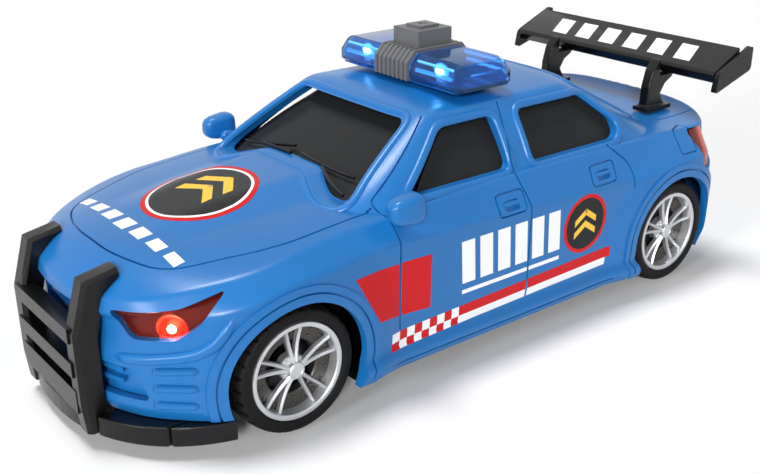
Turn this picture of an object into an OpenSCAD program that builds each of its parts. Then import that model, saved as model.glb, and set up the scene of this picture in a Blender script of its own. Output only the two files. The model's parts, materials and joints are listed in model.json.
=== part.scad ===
// Toy police car: a moulded saloon with a friction drive, a roof light bar and a siren button.
// +X points out of the nose, +Y to the car's left and +Z up. The origin lies on the ground,
// under the middle of the car's overall box. Sizes are in millimetres.

/* [Body shell] */
// Distance between the two axles
wheelbase = 160; // [154:1:170]
// Widest width of the body, along the door crease
body_w = 101; // [99:0.5:104]
// From the front axle forward to the nose
nose_reach = 46.5; // [44:0.5:50]
// From the rear axle back to the tail
tail_reach = 32; // [30:0.5:36]
// Underside of the sill above the ground
sill_h = 8.4; // [8:0.1:9.2]
// Height of the shoulder beside the doors
shoulder_h = 56.5; // [54.5:0.5:58]
// Wall thickness of the moulded shell
wall = 2; // [1.6:0.1:2.4]
// Width of the moulded panel lines
panel_line_w = 0.8; // [0.6:0.1:1.2]
// Depth of the moulded panel lines
panel_line_depth = 0.6; // [0.4:0.1:1]

/* [Cabin] */
// Height of the roof above the shoulder
cabin_h = 22; // [20.5:0.5:24.5]
// How far the cabin's foot lies inside the body's side
cabin_tuck = 5.5; // [5:0.25:7]
// How far the roof's edge lies inside the body's side
roof_tuck = 19; // [17.5:0.25:20.5]
// How far the windscreen's foot lies ahead of mid wheelbase
screen_foot = 65; // [63:0.5:67]
// How far the windscreen's head lies ahead of mid wheelbase
screen_head = 22.5; // [20:0.5:25]
// How far the rear window's foot lies behind mid wheelbase
rear_screen_foot = 89; // [86:0.5:91]
// How far the rear window's head lies behind mid wheelbase
rear_screen_head = 46; // [43:0.5:49]
// Thickness of the window mouldings
glass_t = 1.2; // [0.9:0.1:1.5]

/* [Wheels] */
// Outside diameter of a tyre
wheel_d = 38; // [36:0.5:39]
// Width of a tyre
tyre_w = 15; // [13:0.5:16]
// Outside diameter of a rim, under the tyre
rim_d = 29.4; // [28:0.2:30.6]
// Width over the outer faces of the tyres
track_w = 99; // [97:0.5:100]
// Gap between a tyre and its wheel arch
arch_gap = 2.4; // [2:0.1:3]
// Diameter of the steel axles
axle_d = 3; // [2.5:0.1:3.4]
// Double spokes in a rim
spoke_count = 5; // [4:1:6]
// Tread blocks round a tyre
tread_count = 30; // [24:2:36]

/* [Front end] */
// How far the push bar stands ahead of the nose
push_bar_reach = 5; // [4.5:0.25:6]
// Width over the push bar's uprights
push_bar_w = 43.6; // [40:0.5:46]
// Width of one upright
upright_w = 6.8; // [5.5:0.1:8]
// Height of the front splitter
splitter_h = 6; // [5:0.25:6.5]

/* [Light bar] */
// Length of the light bar across the roof
light_bar_l = 61; // [57:0.5:64]
// Depth of the light bar along the car
light_bar_d = 25; // [23:0.5:27]
// Height of the light bar's lenses
light_bar_h = 9; // [8:0.5:11]
// Width of the ribbed saddle in its middle
saddle_w = 16.5; // [15:0.5:19]
// Travel of the siren button
button_travel = 1.8; // [1.2:0.1:2.2]

/* [Rear wing] */
// Width over the end plates
wing_span = 100; // [92:1:104]
// Depth of the blade from front to back
wing_chord = 15; // [13:0.5:17]
// Height of the blade's front edge above the shoulder
wing_rise = 16.7; // [13.5:0.2:19.5]
// How far the end plates reach behind the tail
wing_overhang = 5.4; // [4:0.2:7]

/* [Friction drive] */
// Module of the gears
gear_module = 0.6; // [0.56:0.02:0.62]
// Teeth on the axle gear and on the idler's wheel
wheel_teeth = 28; // [26:1:28]
// Teeth on the pinions
pinion_teeth = 10; // [10:1:11]
// Diameter of the steel flywheel
flywheel_d = 19; // [15:0.5:19.5]

/* [Power] */
// Diameter of one battery cell
cell_d = 14.5; // [13.8:0.1:14.6]
// Length of one battery cell
cell_l = 50.5; // [48:0.5:51]
// Cells side by side
cell_count = 3; // [2:1:3]
// Diameter of the siren's loudspeaker
speaker_d = 27; // [22:1:28]

/* [Hidden] */
$fn = 48;

// Fits shared by the whole car
clear = 0.3;
seat_gap = 0.1;
run_gap = 0.05;
overrun = 2;
half_base = wheelbase / 2;
half_w = body_w / 2;
cabin_w = body_w - 2 * cabin_tuck;
roof_w = body_w - 2 * roof_tuck;
roof_h = shoulder_h + cabin_h;
wing_h = shoulder_h + wing_rise;
nose_x = half_base + nose_reach;
tail_x = -half_base - tail_reach;
push_bar_x = nose_x + push_bar_reach;
wing_rear_x = tail_x - wing_overhang;
frame_shift = (push_bar_x + wing_rear_x) / 2;

// Plan outline of the lower body
nose_power_share = 2.3;
tail_power_share = 3.2;
tail_corner = 24;
// Heights along the car, as shares of shoulder_h at stations from -2, the tail, to 2, the nose
shoulder_shares = [[-2, 1.045], [-1.75, 0.99], [-1.3, 0.98], [-0.6, 0.995], [0, 1], [0.65, 0.965],
  [1, 0.92], [1.5, 0.85], [2, 0.755]];
crease_shares = [[-2, 0.8], [-1.3, 0.81], [-0.7, 0.79], [0, 0.83], [0.65, 0.855], [1, 0.83],
  [1.5, 0.74], [2, 0.65]];
centre_shares = [[-2, 1.09], [-1.78, 1.02], [-1.3, 1], [-0.6, 1.02], [0, 1.02], [0.65, 1.01],
  [1, 0.975], [1.45, 0.94], [2, 0.9]];
crease_level_share = 0.8;
// Insets of the side, from sill to shoulder: sill underside, sill lip, sill top, door, crease, shoulder
sill_tuck = 0.6;
sill_lip = -0.8;
sill_top = 1.2;
door_tuck = 0.8;
shoulder_tuck = 5.4;
end_tuck = 2.6;
sill_lip_share = 0.09;
sill_top_share = 0.14;
door_share = 0.2;
// Insets of the nose and tail at the same levels
bumper_tuck = 3;
bumper_lip = 0.6;
lamp_band_tuck = 2.2;
bumper_top_share = 0.55;
lamp_band_share = 0.66;
nose_lip_share = 0.88;
tail_tuck = 4;
tail_lamp_tuck = 1.5;
tail_deck_tuck = 1;
// Crown of the bonnet and boot lid
crown_power_share = 3;
spine_front_share = 0.45;
spine_rear_share = 0.6;
spine_front = half_base + nose_reach * spine_front_share;
spine_rear = -half_base - tail_reach * spine_rear_share;
bulge_h = 3.6;
bulge_w = 40;
bulge_nose_w = 26;
bulge_soft = 9;
bulge_taper_shares = [0.5, 1.6];
bulge_fade_shares = [[0, 0], [0.3, 1], [0.66, 1], [1.1, 0.6], [1.6, 0], [2, 0]];
// Wheel arches and their flares
wheel_r = wheel_d / 2;
arch_r = wheel_r + arch_gap;
flare_out = 1.6;
flare_lip_w = 5;
flare_lip_out = 0.6;
flare_fade_w = 11;
flare_start_share = 0.72;
flare_full_share = 0.9;

// Grid of the lofts
nose_steps = 9;
side_steps = 14;
tail_steps = 6;

function mix(a, b, k) = a + (b - a) * k;
function clamp(x, lo, hi) = min(max(x, lo), hi);
function ease(k) = let (c = clamp(k, 0, 1)) c * c * (3 - 2 * c);
function knot(t, u, i = 0) = (i >= len(t) - 2 || u <= t[i + 1][0]) ? i : knot(t, u, i + 1);
function knot_slope(t, i) = let (a = max(i - 1, 0), b = min(i + 1, len(t) - 1)) (t[b][1]
  - t[a][1]) / (t[b][0] - t[a][0]);
// A smooth curve through the points of a table
function curve(t, u) = let (i = knot(t, u), h = t[i + 1][0] - t[i][0], k =
  clamp((u - t[i][0]) / h, 0, 1)) let (m = knot_slope(t, i) * h, n = knot_slope(t, i + 1) * h) t[i][1]
  * (2 * k ^ 3 - 3 * k ^ 2 + 1) + m * (k ^ 3 - 2 * k ^ 2 + k) + t[i + 1][1] * (3 * k ^ 2 - 2 * k ^ 3)
  + n * (k ^ 3 - k ^ 2);
// Place along the car: -2 at the tail, -1 and 1 at the axles, 2 at the nose
function station(x) = x > half_base ? 1 + (x - half_base) / nose_reach : x < -half_base ? -1
  + (x + half_base) / tail_reach : x / half_base;
function shoulder_z(x) = shoulder_h * curve(shoulder_shares, station(x));
function crease_z(x) = shoulder_h * curve(crease_shares, station(x));
function centre_z(x) = shoulder_h * curve(centre_shares, station(x));

// A rounded plan outline: a runs from 0 at the nose through 1 and 2 along the side to 3 at the tail
function bend(angle, power) = [cos(angle) ^ (2 / power), sin(angle) ^ (2 / power)];
function outline(a, w, nose, tail, front, rear, nose_power, tail_power) = a <= 1
  ? let (b = bend(90 * a, nose_power)) [mix(front, nose, b[0]), w * b[1]] : a <= 2
  ? [mix(front, rear, a - 1), w]
  : let (b = bend(90 * (3 - a), tail_power)) [mix(rear, tail, b[0]), w * b[1]];

// Lower body. v runs from 0 at the sill to 1 at the shoulder, d is an inset, a may be negative
side_insets = [[0, sill_tuck], [sill_lip_share, sill_lip], [sill_top_share, sill_top],
  [door_share, door_tuck], [crease_level_share, 0], [1, shoulder_tuck]];
end_insets = [[0, end_tuck], [sill_top_share, sill_top], [door_share, door_tuck],
  [crease_level_share, 0], [1, shoulder_tuck]];
nose_insets = [[0, bumper_tuck], [sill_top_share, 0], [bumper_top_share, bumper_lip],
  [lamp_band_share, lamp_band_tuck], [crease_level_share, lamp_band_tuck], [nose_lip_share, 0],
  [1, bumper_lip]];
tail_insets = [[0, tail_tuck], [sill_top_share, 0], [bumper_top_share, 0],
  [lamp_band_share, tail_lamp_tuck], [1, tail_deck_tuck]];
function level_z(x, v, d) = v <= crease_level_share ? mix(sill_h, crease_z(x), v / crease_level_share)
  : mix(crease_z(x), shoulder_z(x) - d, (v - crease_level_share) / (1 - crease_level_share));
function flare_at(x, z, axle_x) =
  ease((arch_r + flare_lip_w + flare_fade_w - norm([x - axle_x, z - wheel_r])) / flare_fade_w);
function flare(x, y, z) = flare_out * max(flare_at(x, z, half_base), flare_at(x, z, -half_base))
  * ease((y / half_w - flare_start_share) / (flare_full_share - flare_start_share));
function tub_side(a, v, d = 0) = let (side = a < 0 ? -1 : 1)
  let (p = outline(abs(a), half_w - lookup(v, abs(a) < 1 || abs(a) > 2 ? end_insets : side_insets)
  - d, nose_x - lookup(v, nose_insets) - d, tail_x + lookup(v, tail_insets) + d, half_base, tail_x
  + tail_corner, nose_power_share, tail_power_share))
  let (z = level_z(p[0], v, d)) [p[0], side * (p[1] + flare(p[0], p[1], z)), z];
function bulge(x, y) = let (u = station(x), half =
  mix(bulge_w, bulge_nose_w, clamp((u - bulge_taper_shares[0]) / (bulge_taper_shares[1]
  - bulge_taper_shares[0]), 0, 1)) / 2) bulge_h * curve(bulge_fade_shares, u)
  * ease((half - abs(y)) / bulge_soft + 0.5);
// Upper face of the lower body: s runs from 1 at the shoulder to 0 at the spine
function tub_top(a, s, d = 0) =
  let (p = tub_side(a, 1, d), c = clamp(p[0], spine_rear, spine_front), x = mix(c, p[0], s), y = p[1]
  * s) [x, y, mix(p[2], centre_z(c) - d, 1 - s ^ crown_power_share) + bulge(x, y)];
// Height of the bonnet or boot lid over a point between the spine's ends
function deck_z(x, y) = let (w = half_w - shoulder_tuck, k = 1 - min(abs(y) / w, 1) ^ crown_power_share)
  mix(shoulder_z(x), centre_z(x), k) + bulge(x, y);

// Cabin. v runs from 0 at its foot to 1 at the roof's edge
roof_crown = 1.8;
roof_power_share = 3;
cabin_sink = 3;
roof_corner = 13;
foot_corner = 30;
screen_foot_power_share = 2.5;
screen_head_power_share = 6;
rear_corner_power_share = 3;
cabin_bow = 1;
cabin_steps = 6;
cabin_side_steps = 6;
cabin_foot_z = shoulder_h - cabin_sink;
roof_edge_z = roof_h - roof_crown;
cabin_rise = roof_edge_z - cabin_foot_z;
function slant(run) = norm([run, cabin_rise]) / cabin_rise;
function cabin_side(a, v, d = 0) =
  let (side = a < 0 ? -1 : 1, corner = mix(foot_corner, roof_corner, v))
  let (nose = mix(screen_foot, screen_head, v) - d * slant(screen_foot - screen_head))
  let (tail = -mix(rear_screen_foot, rear_screen_head, v) + d
  * slant(rear_screen_foot - rear_screen_head))
  let (w = mix(cabin_w, roof_w, v) / 2 + cabin_bow * sin(180 * v) - d * slant((cabin_w - roof_w) / 2))
  let (p = outline(abs(a), w, nose, tail, nose - corner, tail + corner,
  mix(screen_foot_power_share, screen_head_power_share, v), rear_corner_power_share)) [p[0], side
  * p[1], mix(cabin_foot_z, roof_edge_z - d, v)];
function cabin_top(a, s, d = 0) =
  let (p = cabin_side(a, 1, d), c = clamp(p[0], -rear_screen_head + roof_corner, screen_head
  - roof_corner)) [mix(c, p[0], s), p[1] * s, mix(p[2], roof_h - d, 1 - s ^ roof_power_share)];

// Solids from rings of points, each ring running round the car and its last one closed along the spine
function stops(front, side, rear) =
  concat([for (i = [0:front]) i / front], [for (i = [1:side]) 1 + i / side],
  [for (i = [1:rear]) 2 + i / rear]);
function whole_ring(half) = let (n = len(half))
  concat(half, [for (i = [n - 2:-1:1]) [half[i][0], -half[i][1], half[i][2]]]);
module ring_loft(rings) {
  m = len(rings[0]);
  n = m / 2;
  top = (len(rings) - 1) * m;
  walls = [for (j = [0:len(rings) - 2], i = [0:m - 1]) let (a = j * m + i, b = j * m + (i + 1) % m)
    each [[a, a + m, b + m], [a, b + m, b]]];
  cap = concat([[top, top + m - 1, top + 1], [top + n - 1, top + n + 1, top + n]],
    [for (i = [1:n - 2]) each [[top + i, top + m - i - 1, top + i + 1],
    [top + i, top + m - i, top + m - i - 1]]]);
  polyhedron(points = [for (r = rings) each r], faces = concat([[for (i = [0:m - 1]) i]], walls, cap),
    convexity = 6);
}
tub_stops = stops(nose_steps, side_steps, tail_steps);
tub_level_shares = [0, sill_lip_share, sill_top_share, door_share, bumper_top_share, lamp_band_share,
  crease_level_share, nose_lip_share, 1];
tub_top_shares = [0.95, 0.82, 0.6, 0.42, 0.22];
module tub(d = 0) {
  sides = [for (v = tub_level_shares) [for (a = tub_stops) tub_side(a, v, d)]];
  tops = [for (s = tub_top_shares) [for (a = tub_stops) tub_top(a, s, d)]];
  ring_loft([for (r = concat(sides, tops)) whole_ring(r)]);
}
cavity_stops = stops(nose_steps - 3, side_steps / 2, tail_steps - 2);
cavity_level_shares = [sill_top_share, bumper_top_share, lamp_band_share, crease_level_share,
  nose_lip_share, 1];
cavity_top_shares = [0.85, 0.55, 0.25];
// The hollow inside the lower body, open at its foot
module tub_cavity(d) {
  foot = [for (a = cavity_stops) tub_side(a, 0, d) - [0, 0, overrun]];
  sides = [for (v = cavity_level_shares) [for (a = cavity_stops) tub_side(a, v, d)]];
  tops = [for (s = cavity_top_shares) [for (a = cavity_stops) tub_top(a, s, d)]];
  ring_loft([for (r = concat([foot], sides, tops)) whole_ring(r)]);
}
cabin_stops = stops(cabin_steps, cabin_side_steps, cabin_steps);
cabin_level_shares = [0, 0.25, 0.5, 0.75, 1];
cabin_top_shares = [0.94, 0.82, 0.6, 0.3];
module cabin(d = 0) {
  sides = [for (v = cabin_level_shares) [for (a = cabin_stops) cabin_side(a, v, d)]];
  tops = [for (s = cabin_top_shares) [for (a = cabin_stops) cabin_top(a, s, d)]];
  ring_loft([for (r = concat(sides, tops)) whole_ring(r)]);
}
// A closed panel between an outer and an inner grid of points
module panel(outer, inner) {
  rows = len(outer);
  cols = len(outer[0]);
  total = rows * cols;
  edge = concat([for (c = [0:cols - 1]) c], [for (r = [1:rows - 1]) r * cols + cols - 1],
    [for (c = [cols - 2:-1:0]) (rows - 1) * cols + c], [for (r = [rows - 2:-1:1]) r * cols]);
  grid = [for (r = [0:rows - 2], c = [0:cols - 2]) let (k = r * cols + c)
    each [[k, k + cols, k + cols + 1], [k, k + cols + 1, k + 1]]];
  back = [for (f = grid) [f[2] + total, f[1] + total, f[0] + total]];
  rim = [for (i = [0:len(edge) - 1]) let (a = edge[i], b = edge[(i + 1) % len(edge)])
    each [[a, b, b + total], [a, b + total, a + total]]];
  polyhedron(points = concat([for (r = outer) each r], [for (r = inner) each r]),
    faces = concat(grid, back, rim), convexity = 4);
}
function span(from, to, steps) = [for (i = [0:steps]) mix(from, to, i / steps)];
// Points on the flat facets of the hollows, so that what seats in them follows them
function step_before(list, a, i = 0) = (i >= len(list) - 2 || a <= list[i + 1]) ? i
  : step_before(list, a, i + 1);
function inner_side(a, v, d) =
  let (b = abs(a), i = step_before(cavity_stops, b), from = cavity_stops[i], to = cavity_stops[i + 1])
  let (p = mix(tub_side(from, v, d), tub_side(to, v, d), (b - from) / (to - from)))
  [p[0], a < 0 ? -p[1] : p[1], p[2]];
function cabin_row(a, v, d) =
  let (i = step_before(cabin_stops, a), from = cabin_stops[i], to = cabin_stops[i + 1])
  mix(cabin_side(from, v, d), cabin_side(to, v, d), (a - from) / (to - from));
function inner_cabin(a, v, d) = let (j = step_before(cabin_level_shares, v))
  let (low = cabin_level_shares[j], high = cabin_level_shares[j + 1])
  let (p = mix(cabin_row(abs(a), low, d), cabin_row(abs(a), high, d), (v - low) / (high - low)))
  [p[0], a < 0 ? -p[1] : p[1], p[2]];
module tub_panel(a_list, v_list, d_out, d_in) {
  panel([for (v = v_list) [for (a = a_list) inner_side(a, v, d_out)]],
    [for (v = v_list) [for (a = a_list) inner_side(a, v, d_in)]]);
}
module cabin_panel(a_list, v_list, d_out, d_in) {
  panel([for (v = v_list) [for (a = a_list) inner_cabin(a, v, d_out)]],
    [for (v = v_list) [for (a = a_list) inner_cabin(a, v, d_in)]]);
}

// Flat outlines with rounded corners, and their extrusions
corner_steps = 4;
corner_limit_share = 0.476;
function rounded(pts, r) = let (n = len(pts)) [for (i = [0:n - 1])
  let (p = pts[i], a = pts[(i + n - 1) % n] - p, b = pts[(i + 1) % n] - p)
  let (t = min(r, norm(a) * corner_limit_share, norm(b) * corner_limit_share), s = p + a / norm(a)
  * t, e = p + b / norm(b) * t) each [for (k = [0:corner_steps]) let (q = k / corner_steps) s
  * (1 - q) ^ 2 + p * 2 * q * (1 - q) + e * q ^ 2]];
module side_extrude(y0, y1) translate([0, y1, 0]) rotate([90, 0, 0]) linear_extrude(y1 - y0) children();
module front_extrude(x0, x1) translate([x0, 0, 0]) rotate([90, 0, 90]) linear_extrude(x1 - x0)
  children();
module box(at, size) translate(at) cube(size);
module block(at, size) box(at - [size[0], size[1], 0] / 2, size);
module both_sides() {
  children();
  mirror([0, 1, 0]) children();
}
module stroke(points, w) {
  for (i = [0:len(points) - 2]) hull() {
    translate(points[i]) circle(d = w, $fn = 8);
    translate(points[i + 1]) circle(d = w, $fn = 8);
  }
}

// Windows, as shares of the cabin's height and of the distances to its ends
window_foot_share = 0.17;
window_head_share = 0.84;
window_r = 3;
window_foot_z = mix(cabin_foot_z, roof_edge_z, window_foot_share);
window_head_z = mix(cabin_foot_z, roof_edge_z, window_head_share);
pillar_x = -9;
pillar_w = 10;
window_front_foot_share = 0.57;
window_front_head_share = 0.79;
window_rear_foot_share = 0.6;
window_rear_mid_share = 0.635;
window_rear_head_share = 0.96;
window_step_share = 0.3;
window_rear_mid_z = mix(window_foot_z, window_head_z, window_step_share);
front_window = [[pillar_x + pillar_w / 2, window_foot_z],
  [screen_foot * window_front_foot_share, window_foot_z],
  [screen_head * window_front_head_share, window_head_z], [pillar_x + pillar_w / 2, window_head_z]];
rear_window_pane = [[pillar_x - pillar_w / 2, window_foot_z], [pillar_x - pillar_w / 2, window_head_z],
  [-rear_screen_head * window_rear_head_share, window_head_z],
  [-rear_screen_foot * window_rear_mid_share, window_rear_mid_z],
  [-rear_screen_foot * window_rear_foot_share, window_foot_z]];
screen_frame = 4.5;
screen_drop = 1.6;
screen_station_share = 0.65;
screen_lip = 0.4;
screen_foot_z = centre_z(half_base * screen_station_share) + bulge_h + screen_lip;
screen_corner_z = shoulder_h - screen_lip / 2;
screen_head_z = roof_edge_z - screen_drop;
screen_foot_half = 35.5;
screen_head_half = roof_w / 2 - screen_frame;
screen_bulge_half = (bulge_w - bulge_soft) / 2;
screen_opening = [[-screen_bulge_half, screen_foot_z], [screen_bulge_half, screen_foot_z],
  [screen_bulge_half + bulge_soft, screen_corner_z + screen_lip], [screen_foot_half, screen_corner_z],
  [screen_head_half, screen_head_z], [-screen_head_half, screen_head_z],
  [-screen_foot_half, screen_corner_z],
  [-screen_bulge_half - bulge_soft, screen_corner_z + screen_lip]];
rear_opening_rise = 2.6;
rear_opening_foot_z = centre_z(-half_base) + rear_opening_rise;
rear_opening_foot_half = 31;
rear_opening_head_half = roof_w / 2 - screen_frame;
rear_opening = [[-rear_opening_foot_half, rear_opening_foot_z],
  [rear_opening_foot_half, rear_opening_foot_z], [rear_opening_head_half, screen_head_z],
  [-rear_opening_head_half, screen_head_z]];

// Lamps, each an outline on a plane that faces out of its corner
lamp_turn = 41;
head_lamp_at_shares = [0.66, 0.7];
head_lamp_at = [half_base + nose_reach * head_lamp_at_shares[0], half_w * head_lamp_at_shares[1]];
head_lamp_l = 31;
head_lamp_h = 14;
head_lamp_z_share = 0.72;
head_lamp_z = shoulder_h * head_lamp_z_share;
head_lamp_shares = [[-0.5, 0.06], [-0.31, -0.5], [0.1, -0.43], [0.32, -0.08], [0.5, 0.5], [0.14, 0.2],
  [-0.2, 0.1]];
tail_lamp_turn = 124;
tail_lamp_at_shares = [0.55, 0.9];
tail_lamp_at = [tail_x + tail_corner * tail_lamp_at_shares[0], half_w * tail_lamp_at_shares[1]];
tail_lamp_l = 17;
tail_lamp_h = 15;
tail_lamp_z_share = 0.84;
tail_lamp_z = shoulder_h * tail_lamp_z_share;
tail_lamp_shares = [[-0.5, -0.4], [-0.3, -0.5], [0.3, -0.25], [0.5, 0.1], [0.42, 0.45], [-0.5, 0.5]];
lamp_r = 2;
module lamp_prism(at, turn, l, h, z, shares) {
  reach = tail_corner;
  translate([at[0], at[1], z]) rotate([0, 0, turn]) front_extrude(-reach / 2, reach)
    polygon(rounded([for (s = shares) [s[0] * l, s[1] * h]], lamp_r));
}
module head_lamp_prism() lamp_prism(head_lamp_at, lamp_turn, head_lamp_l, head_lamp_h, head_lamp_z,
  head_lamp_shares);
module tail_lamp_prism() lamp_prism(tail_lamp_at, tail_lamp_turn, tail_lamp_l, tail_lamp_h, tail_lamp_z,
  tail_lamp_shares);

// Grille openings in the nose
grille_top_half = 20;
grille_foot_half = 15;
grille_top_share = 0.71;
grille_top_z = shoulder_h * grille_top_share;
grille_foot_share = 0.56;
grille_foot_z = shoulder_h * grille_foot_share;
intake_top_half = 31;
intake_foot_half = 34;
intake_top_share = 0.45;
intake_top_z = shoulder_h * intake_top_share;
intake_foot_share = 0.29;
intake_foot_z = shoulder_h * intake_foot_share;
grille_r = 2;
upper_grille = [[-grille_foot_half, grille_foot_z], [grille_foot_half, grille_foot_z],
  [grille_top_half, grille_top_z], [-grille_top_half, grille_top_z]];
lower_intake = [[-intake_foot_half, intake_foot_z], [intake_foot_half, intake_foot_z],
  [intake_top_half, intake_top_z], [-intake_top_half, intake_top_z]];
grille_depth_share = 0.45;
grille_depth = nose_reach * grille_depth_share;

// Screw posts that hold the shell to the chassis
post_r = 3.2;
post_bore_r = 1.3;
post_front_share = 0.52;
post_rear_share = 0.45;
post_front_x = half_base + nose_reach * post_front_share;
post_rear_x = tail_x + tail_corner * post_rear_share;
post_y = 17;
post_places = [[post_front_x, post_y], [post_front_x, -post_y], [post_rear_x, post_y],
  [post_rear_x, -post_y]];
chassis_drop = 1.5;
chassis_z = sill_h - chassis_drop;
chassis_t = 2.5;
chassis_top_z = chassis_z + chassis_t;

// Panel lines on the flanks, drawn from the side
door_front_share = 0.565;
door_rear_share = 0.6;
door_arch_share = 0.7;
door_foot_share = 0.26;
door_bend_share = 0.95;
door_lean = 3;
door_head_set = 1.5;
mid_door_set = 1;
mid_door_lean = 4;
mid_door_shares = [1.01, 0.85];
rear_door_shares = [0.88, 0.74];
line_end_share = 0.7;
door_front_x = half_base * door_front_share;
door_mid_x = pillar_x + mid_door_set;
door_rear_x = -half_base * door_rear_share;
door_rear_arch_x = -half_base * door_arch_share;
door_foot_z = mix(sill_h, shoulder_h, door_foot_share);
line_top_z = roof_edge_z - panel_line_w * line_end_share;
front_door_line = [[screen_head - door_head_set, line_top_z], [door_front_x + door_lean, window_foot_z],
  [door_front_x, shoulder_h * door_bend_share], [door_front_x, door_foot_z]];
mid_door_line = [[door_mid_x, line_top_z],
  [door_mid_x + mid_door_lean, shoulder_h * mid_door_shares[0]],
  [door_mid_x + mid_door_set, shoulder_h * mid_door_shares[1]],
  [door_mid_x + mid_door_set, door_foot_z]];
rear_door_line = [[door_rear_x, shoulder_h], [door_rear_arch_x, shoulder_h * rear_door_shares[0]],
  [door_rear_arch_x, shoulder_h * rear_door_shares[1]]];
bonnet_half_share = 0.8;
bonnet_nose_share = 0.6;
bonnet_front_share = 0.74;
bonnet_corner_share = 0.6;
bonnet_rear_share = 0.6;
bonnet_tip_share = 0.4;
bonnet_half_w = half_w * bonnet_half_share;
bonnet_nose_half_w = half_w * bonnet_nose_share;
bonnet_tip_half_w = bonnet_nose_half_w * bonnet_tip_share;
bonnet_rear_x = half_base * bonnet_rear_share;
bonnet_front_x = half_base + nose_reach * bonnet_front_share;
bonnet_corner_x = half_base + nose_reach * bonnet_corner_share;
bonnet_line = [[bonnet_rear_x, bonnet_half_w], [half_base, bonnet_half_w],
  [bonnet_corner_x, bonnet_nose_half_w], [bonnet_front_x, bonnet_tip_half_w],
  [bonnet_front_x, -bonnet_tip_half_w], [bonnet_corner_x, -bonnet_nose_half_w],
  [half_base, -bonnet_half_w], [bonnet_rear_x, -bonnet_half_w]];
boot_half_share = 0.68;
boot_line_gap = 2;
boot_line_end = 4;
boot_half_w = half_w * boot_half_share;
boot_line = [[-rear_screen_foot + boot_line_gap, boot_half_w], [tail_x + boot_line_end, boot_half_w]];
// Door handles, the fuel flap and the bumper ribs stand proud by this much
trim_rise = 0.6;
handle_l = 11;
handle_h = 6;
handle_recess_share = 0.6;
handle_z_share = 0.925;
handle_set_share = 0.9;
handle_z = shoulder_h * handle_z_share;
handle_places = [pillar_x + pillar_w, door_rear_x + handle_l * handle_set_share];
flap_l = 8.5;
flap_at_shares = [0.16, 0.93];
flap_at = [-half_base - tail_reach * flap_at_shares[0], shoulder_h * flap_at_shares[1]];
rib_count = 3;
rib_h = 2;
rib_pitch = 6;
rib_foot_share = 0.34;
rib_foot_z = shoulder_h * rib_foot_share;
rib_l = 12;
rib_gap = 2;
rib_rear_x = half_base + arch_r + rib_gap;
rib_step = 1.2;

module arch_ring(outer, inner) difference() {
  circle(r = outer, $fn = 32);
  circle(r = inner, $fn = 32);
}
module at_axles() for (x = [-half_base, half_base]) translate([x, wheel_r]) children();
module side_trim() {
  for (x = handle_places) translate([x - handle_l / 2, handle_z - handle_h / 2]) difference() {
    square([handle_l, handle_h]);
    translate([handle_l, handle_h] * (1 - handle_recess_share) / 2)
      square([handle_l, handle_h] * handle_recess_share);
  }
  translate(flap_at - [flap_l, flap_l] / 2) square([flap_l, flap_l]);
  for (i = [0:rib_count - 1]) translate([rib_rear_x, rib_foot_z + i * rib_pitch])
    square([rib_l - (rib_count - i) * rib_step, rib_h]);
}
module panel_lines() {
  intersection() {
    difference() {
      union() {
        tub(-overrun);
        cabin(-overrun);
      }
      tub(panel_line_depth);
      cabin(panel_line_depth);
    }
    union() {
      side_extrude(-body_w, body_w) {
        stroke(front_door_line, panel_line_w);
        stroke(mid_door_line, panel_line_w);
        stroke(rear_door_line, panel_line_w);
      }
      translate([0, 0, lid_line_z]) linear_extrude(shoulder_h) {
        stroke(bonnet_line, panel_line_w);
        stroke(boot_line, panel_line_w);
        mirror([0, 1]) stroke(boot_line, panel_line_w);
      }
    }
  }
}
lid_line_share = 0.84;
lid_line_z = shoulder_h * lid_line_share;
splitter_lap = 1.8;
splitter_top_z = sill_h + splitter_lap;
module body_shell() color("#2f6fc4") {
  difference() {
    union() {
      difference() {
        union() {
          tub();
          cabin();
          intersection() {
            tub(-flare_lip_out);
            side_extrude(-body_w, body_w) at_axles()
              arch_ring(arch_r + flare_lip_w, arch_r - overrun);
          }
          intersection() {
            tub(-trim_rise);
            difference() {
              side_extrude(-body_w, body_w) side_trim();
              side_extrude(-bonnet_nose_half_w, bonnet_nose_half_w)
                square([wheelbase * 2, wheelbase * 2], center = true);
            }
          }
        }
        tub_cavity(wall);
        cabin(wall);
        panel_lines();
        side_extrude(-body_w, body_w) {
          at_axles() circle(r = arch_r, $fn = 32);
          polygon(rounded(front_window, window_r));
          polygon(rounded(rear_window_pane, window_r));
        }
        front_extrude(0, screen_foot) polygon(rounded(screen_opening, window_r));
        front_extrude(-rear_screen_foot, -half_base / 2)
          polygon(rounded(rear_opening, window_r));
        both_sides() {
          head_lamp_prism();
          tail_lamp_prism();
        }
        front_extrude(nose_x - grille_depth, push_bar_x) {
          polygon(rounded(upper_grille, grille_r));
          polygon(rounded(lower_intake, grille_r));
        }
        box([half_base + arch_r / 2, -body_w / 2, 0], [nose_reach, body_w, splitter_top_z + clear]);
        block([light_bar_x, 0, roof_edge_z - overrun],
          [wire_slot_l, wire_slot_w, 2 * overrun + roof_crown]);
      }
      intersection() {
        tub(wall / 2);
        for (p = post_places) translate([p[0], p[1], chassis_top_z + seat_gap])
          cylinder(r = post_r, h = roof_h, $fn = 16);
      }
    }
    for (p = post_places) translate([p[0], p[1], 0])
      cylinder(r = post_bore_r, h = shoulder_h / 2, $fn = 16);
  }
}

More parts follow.
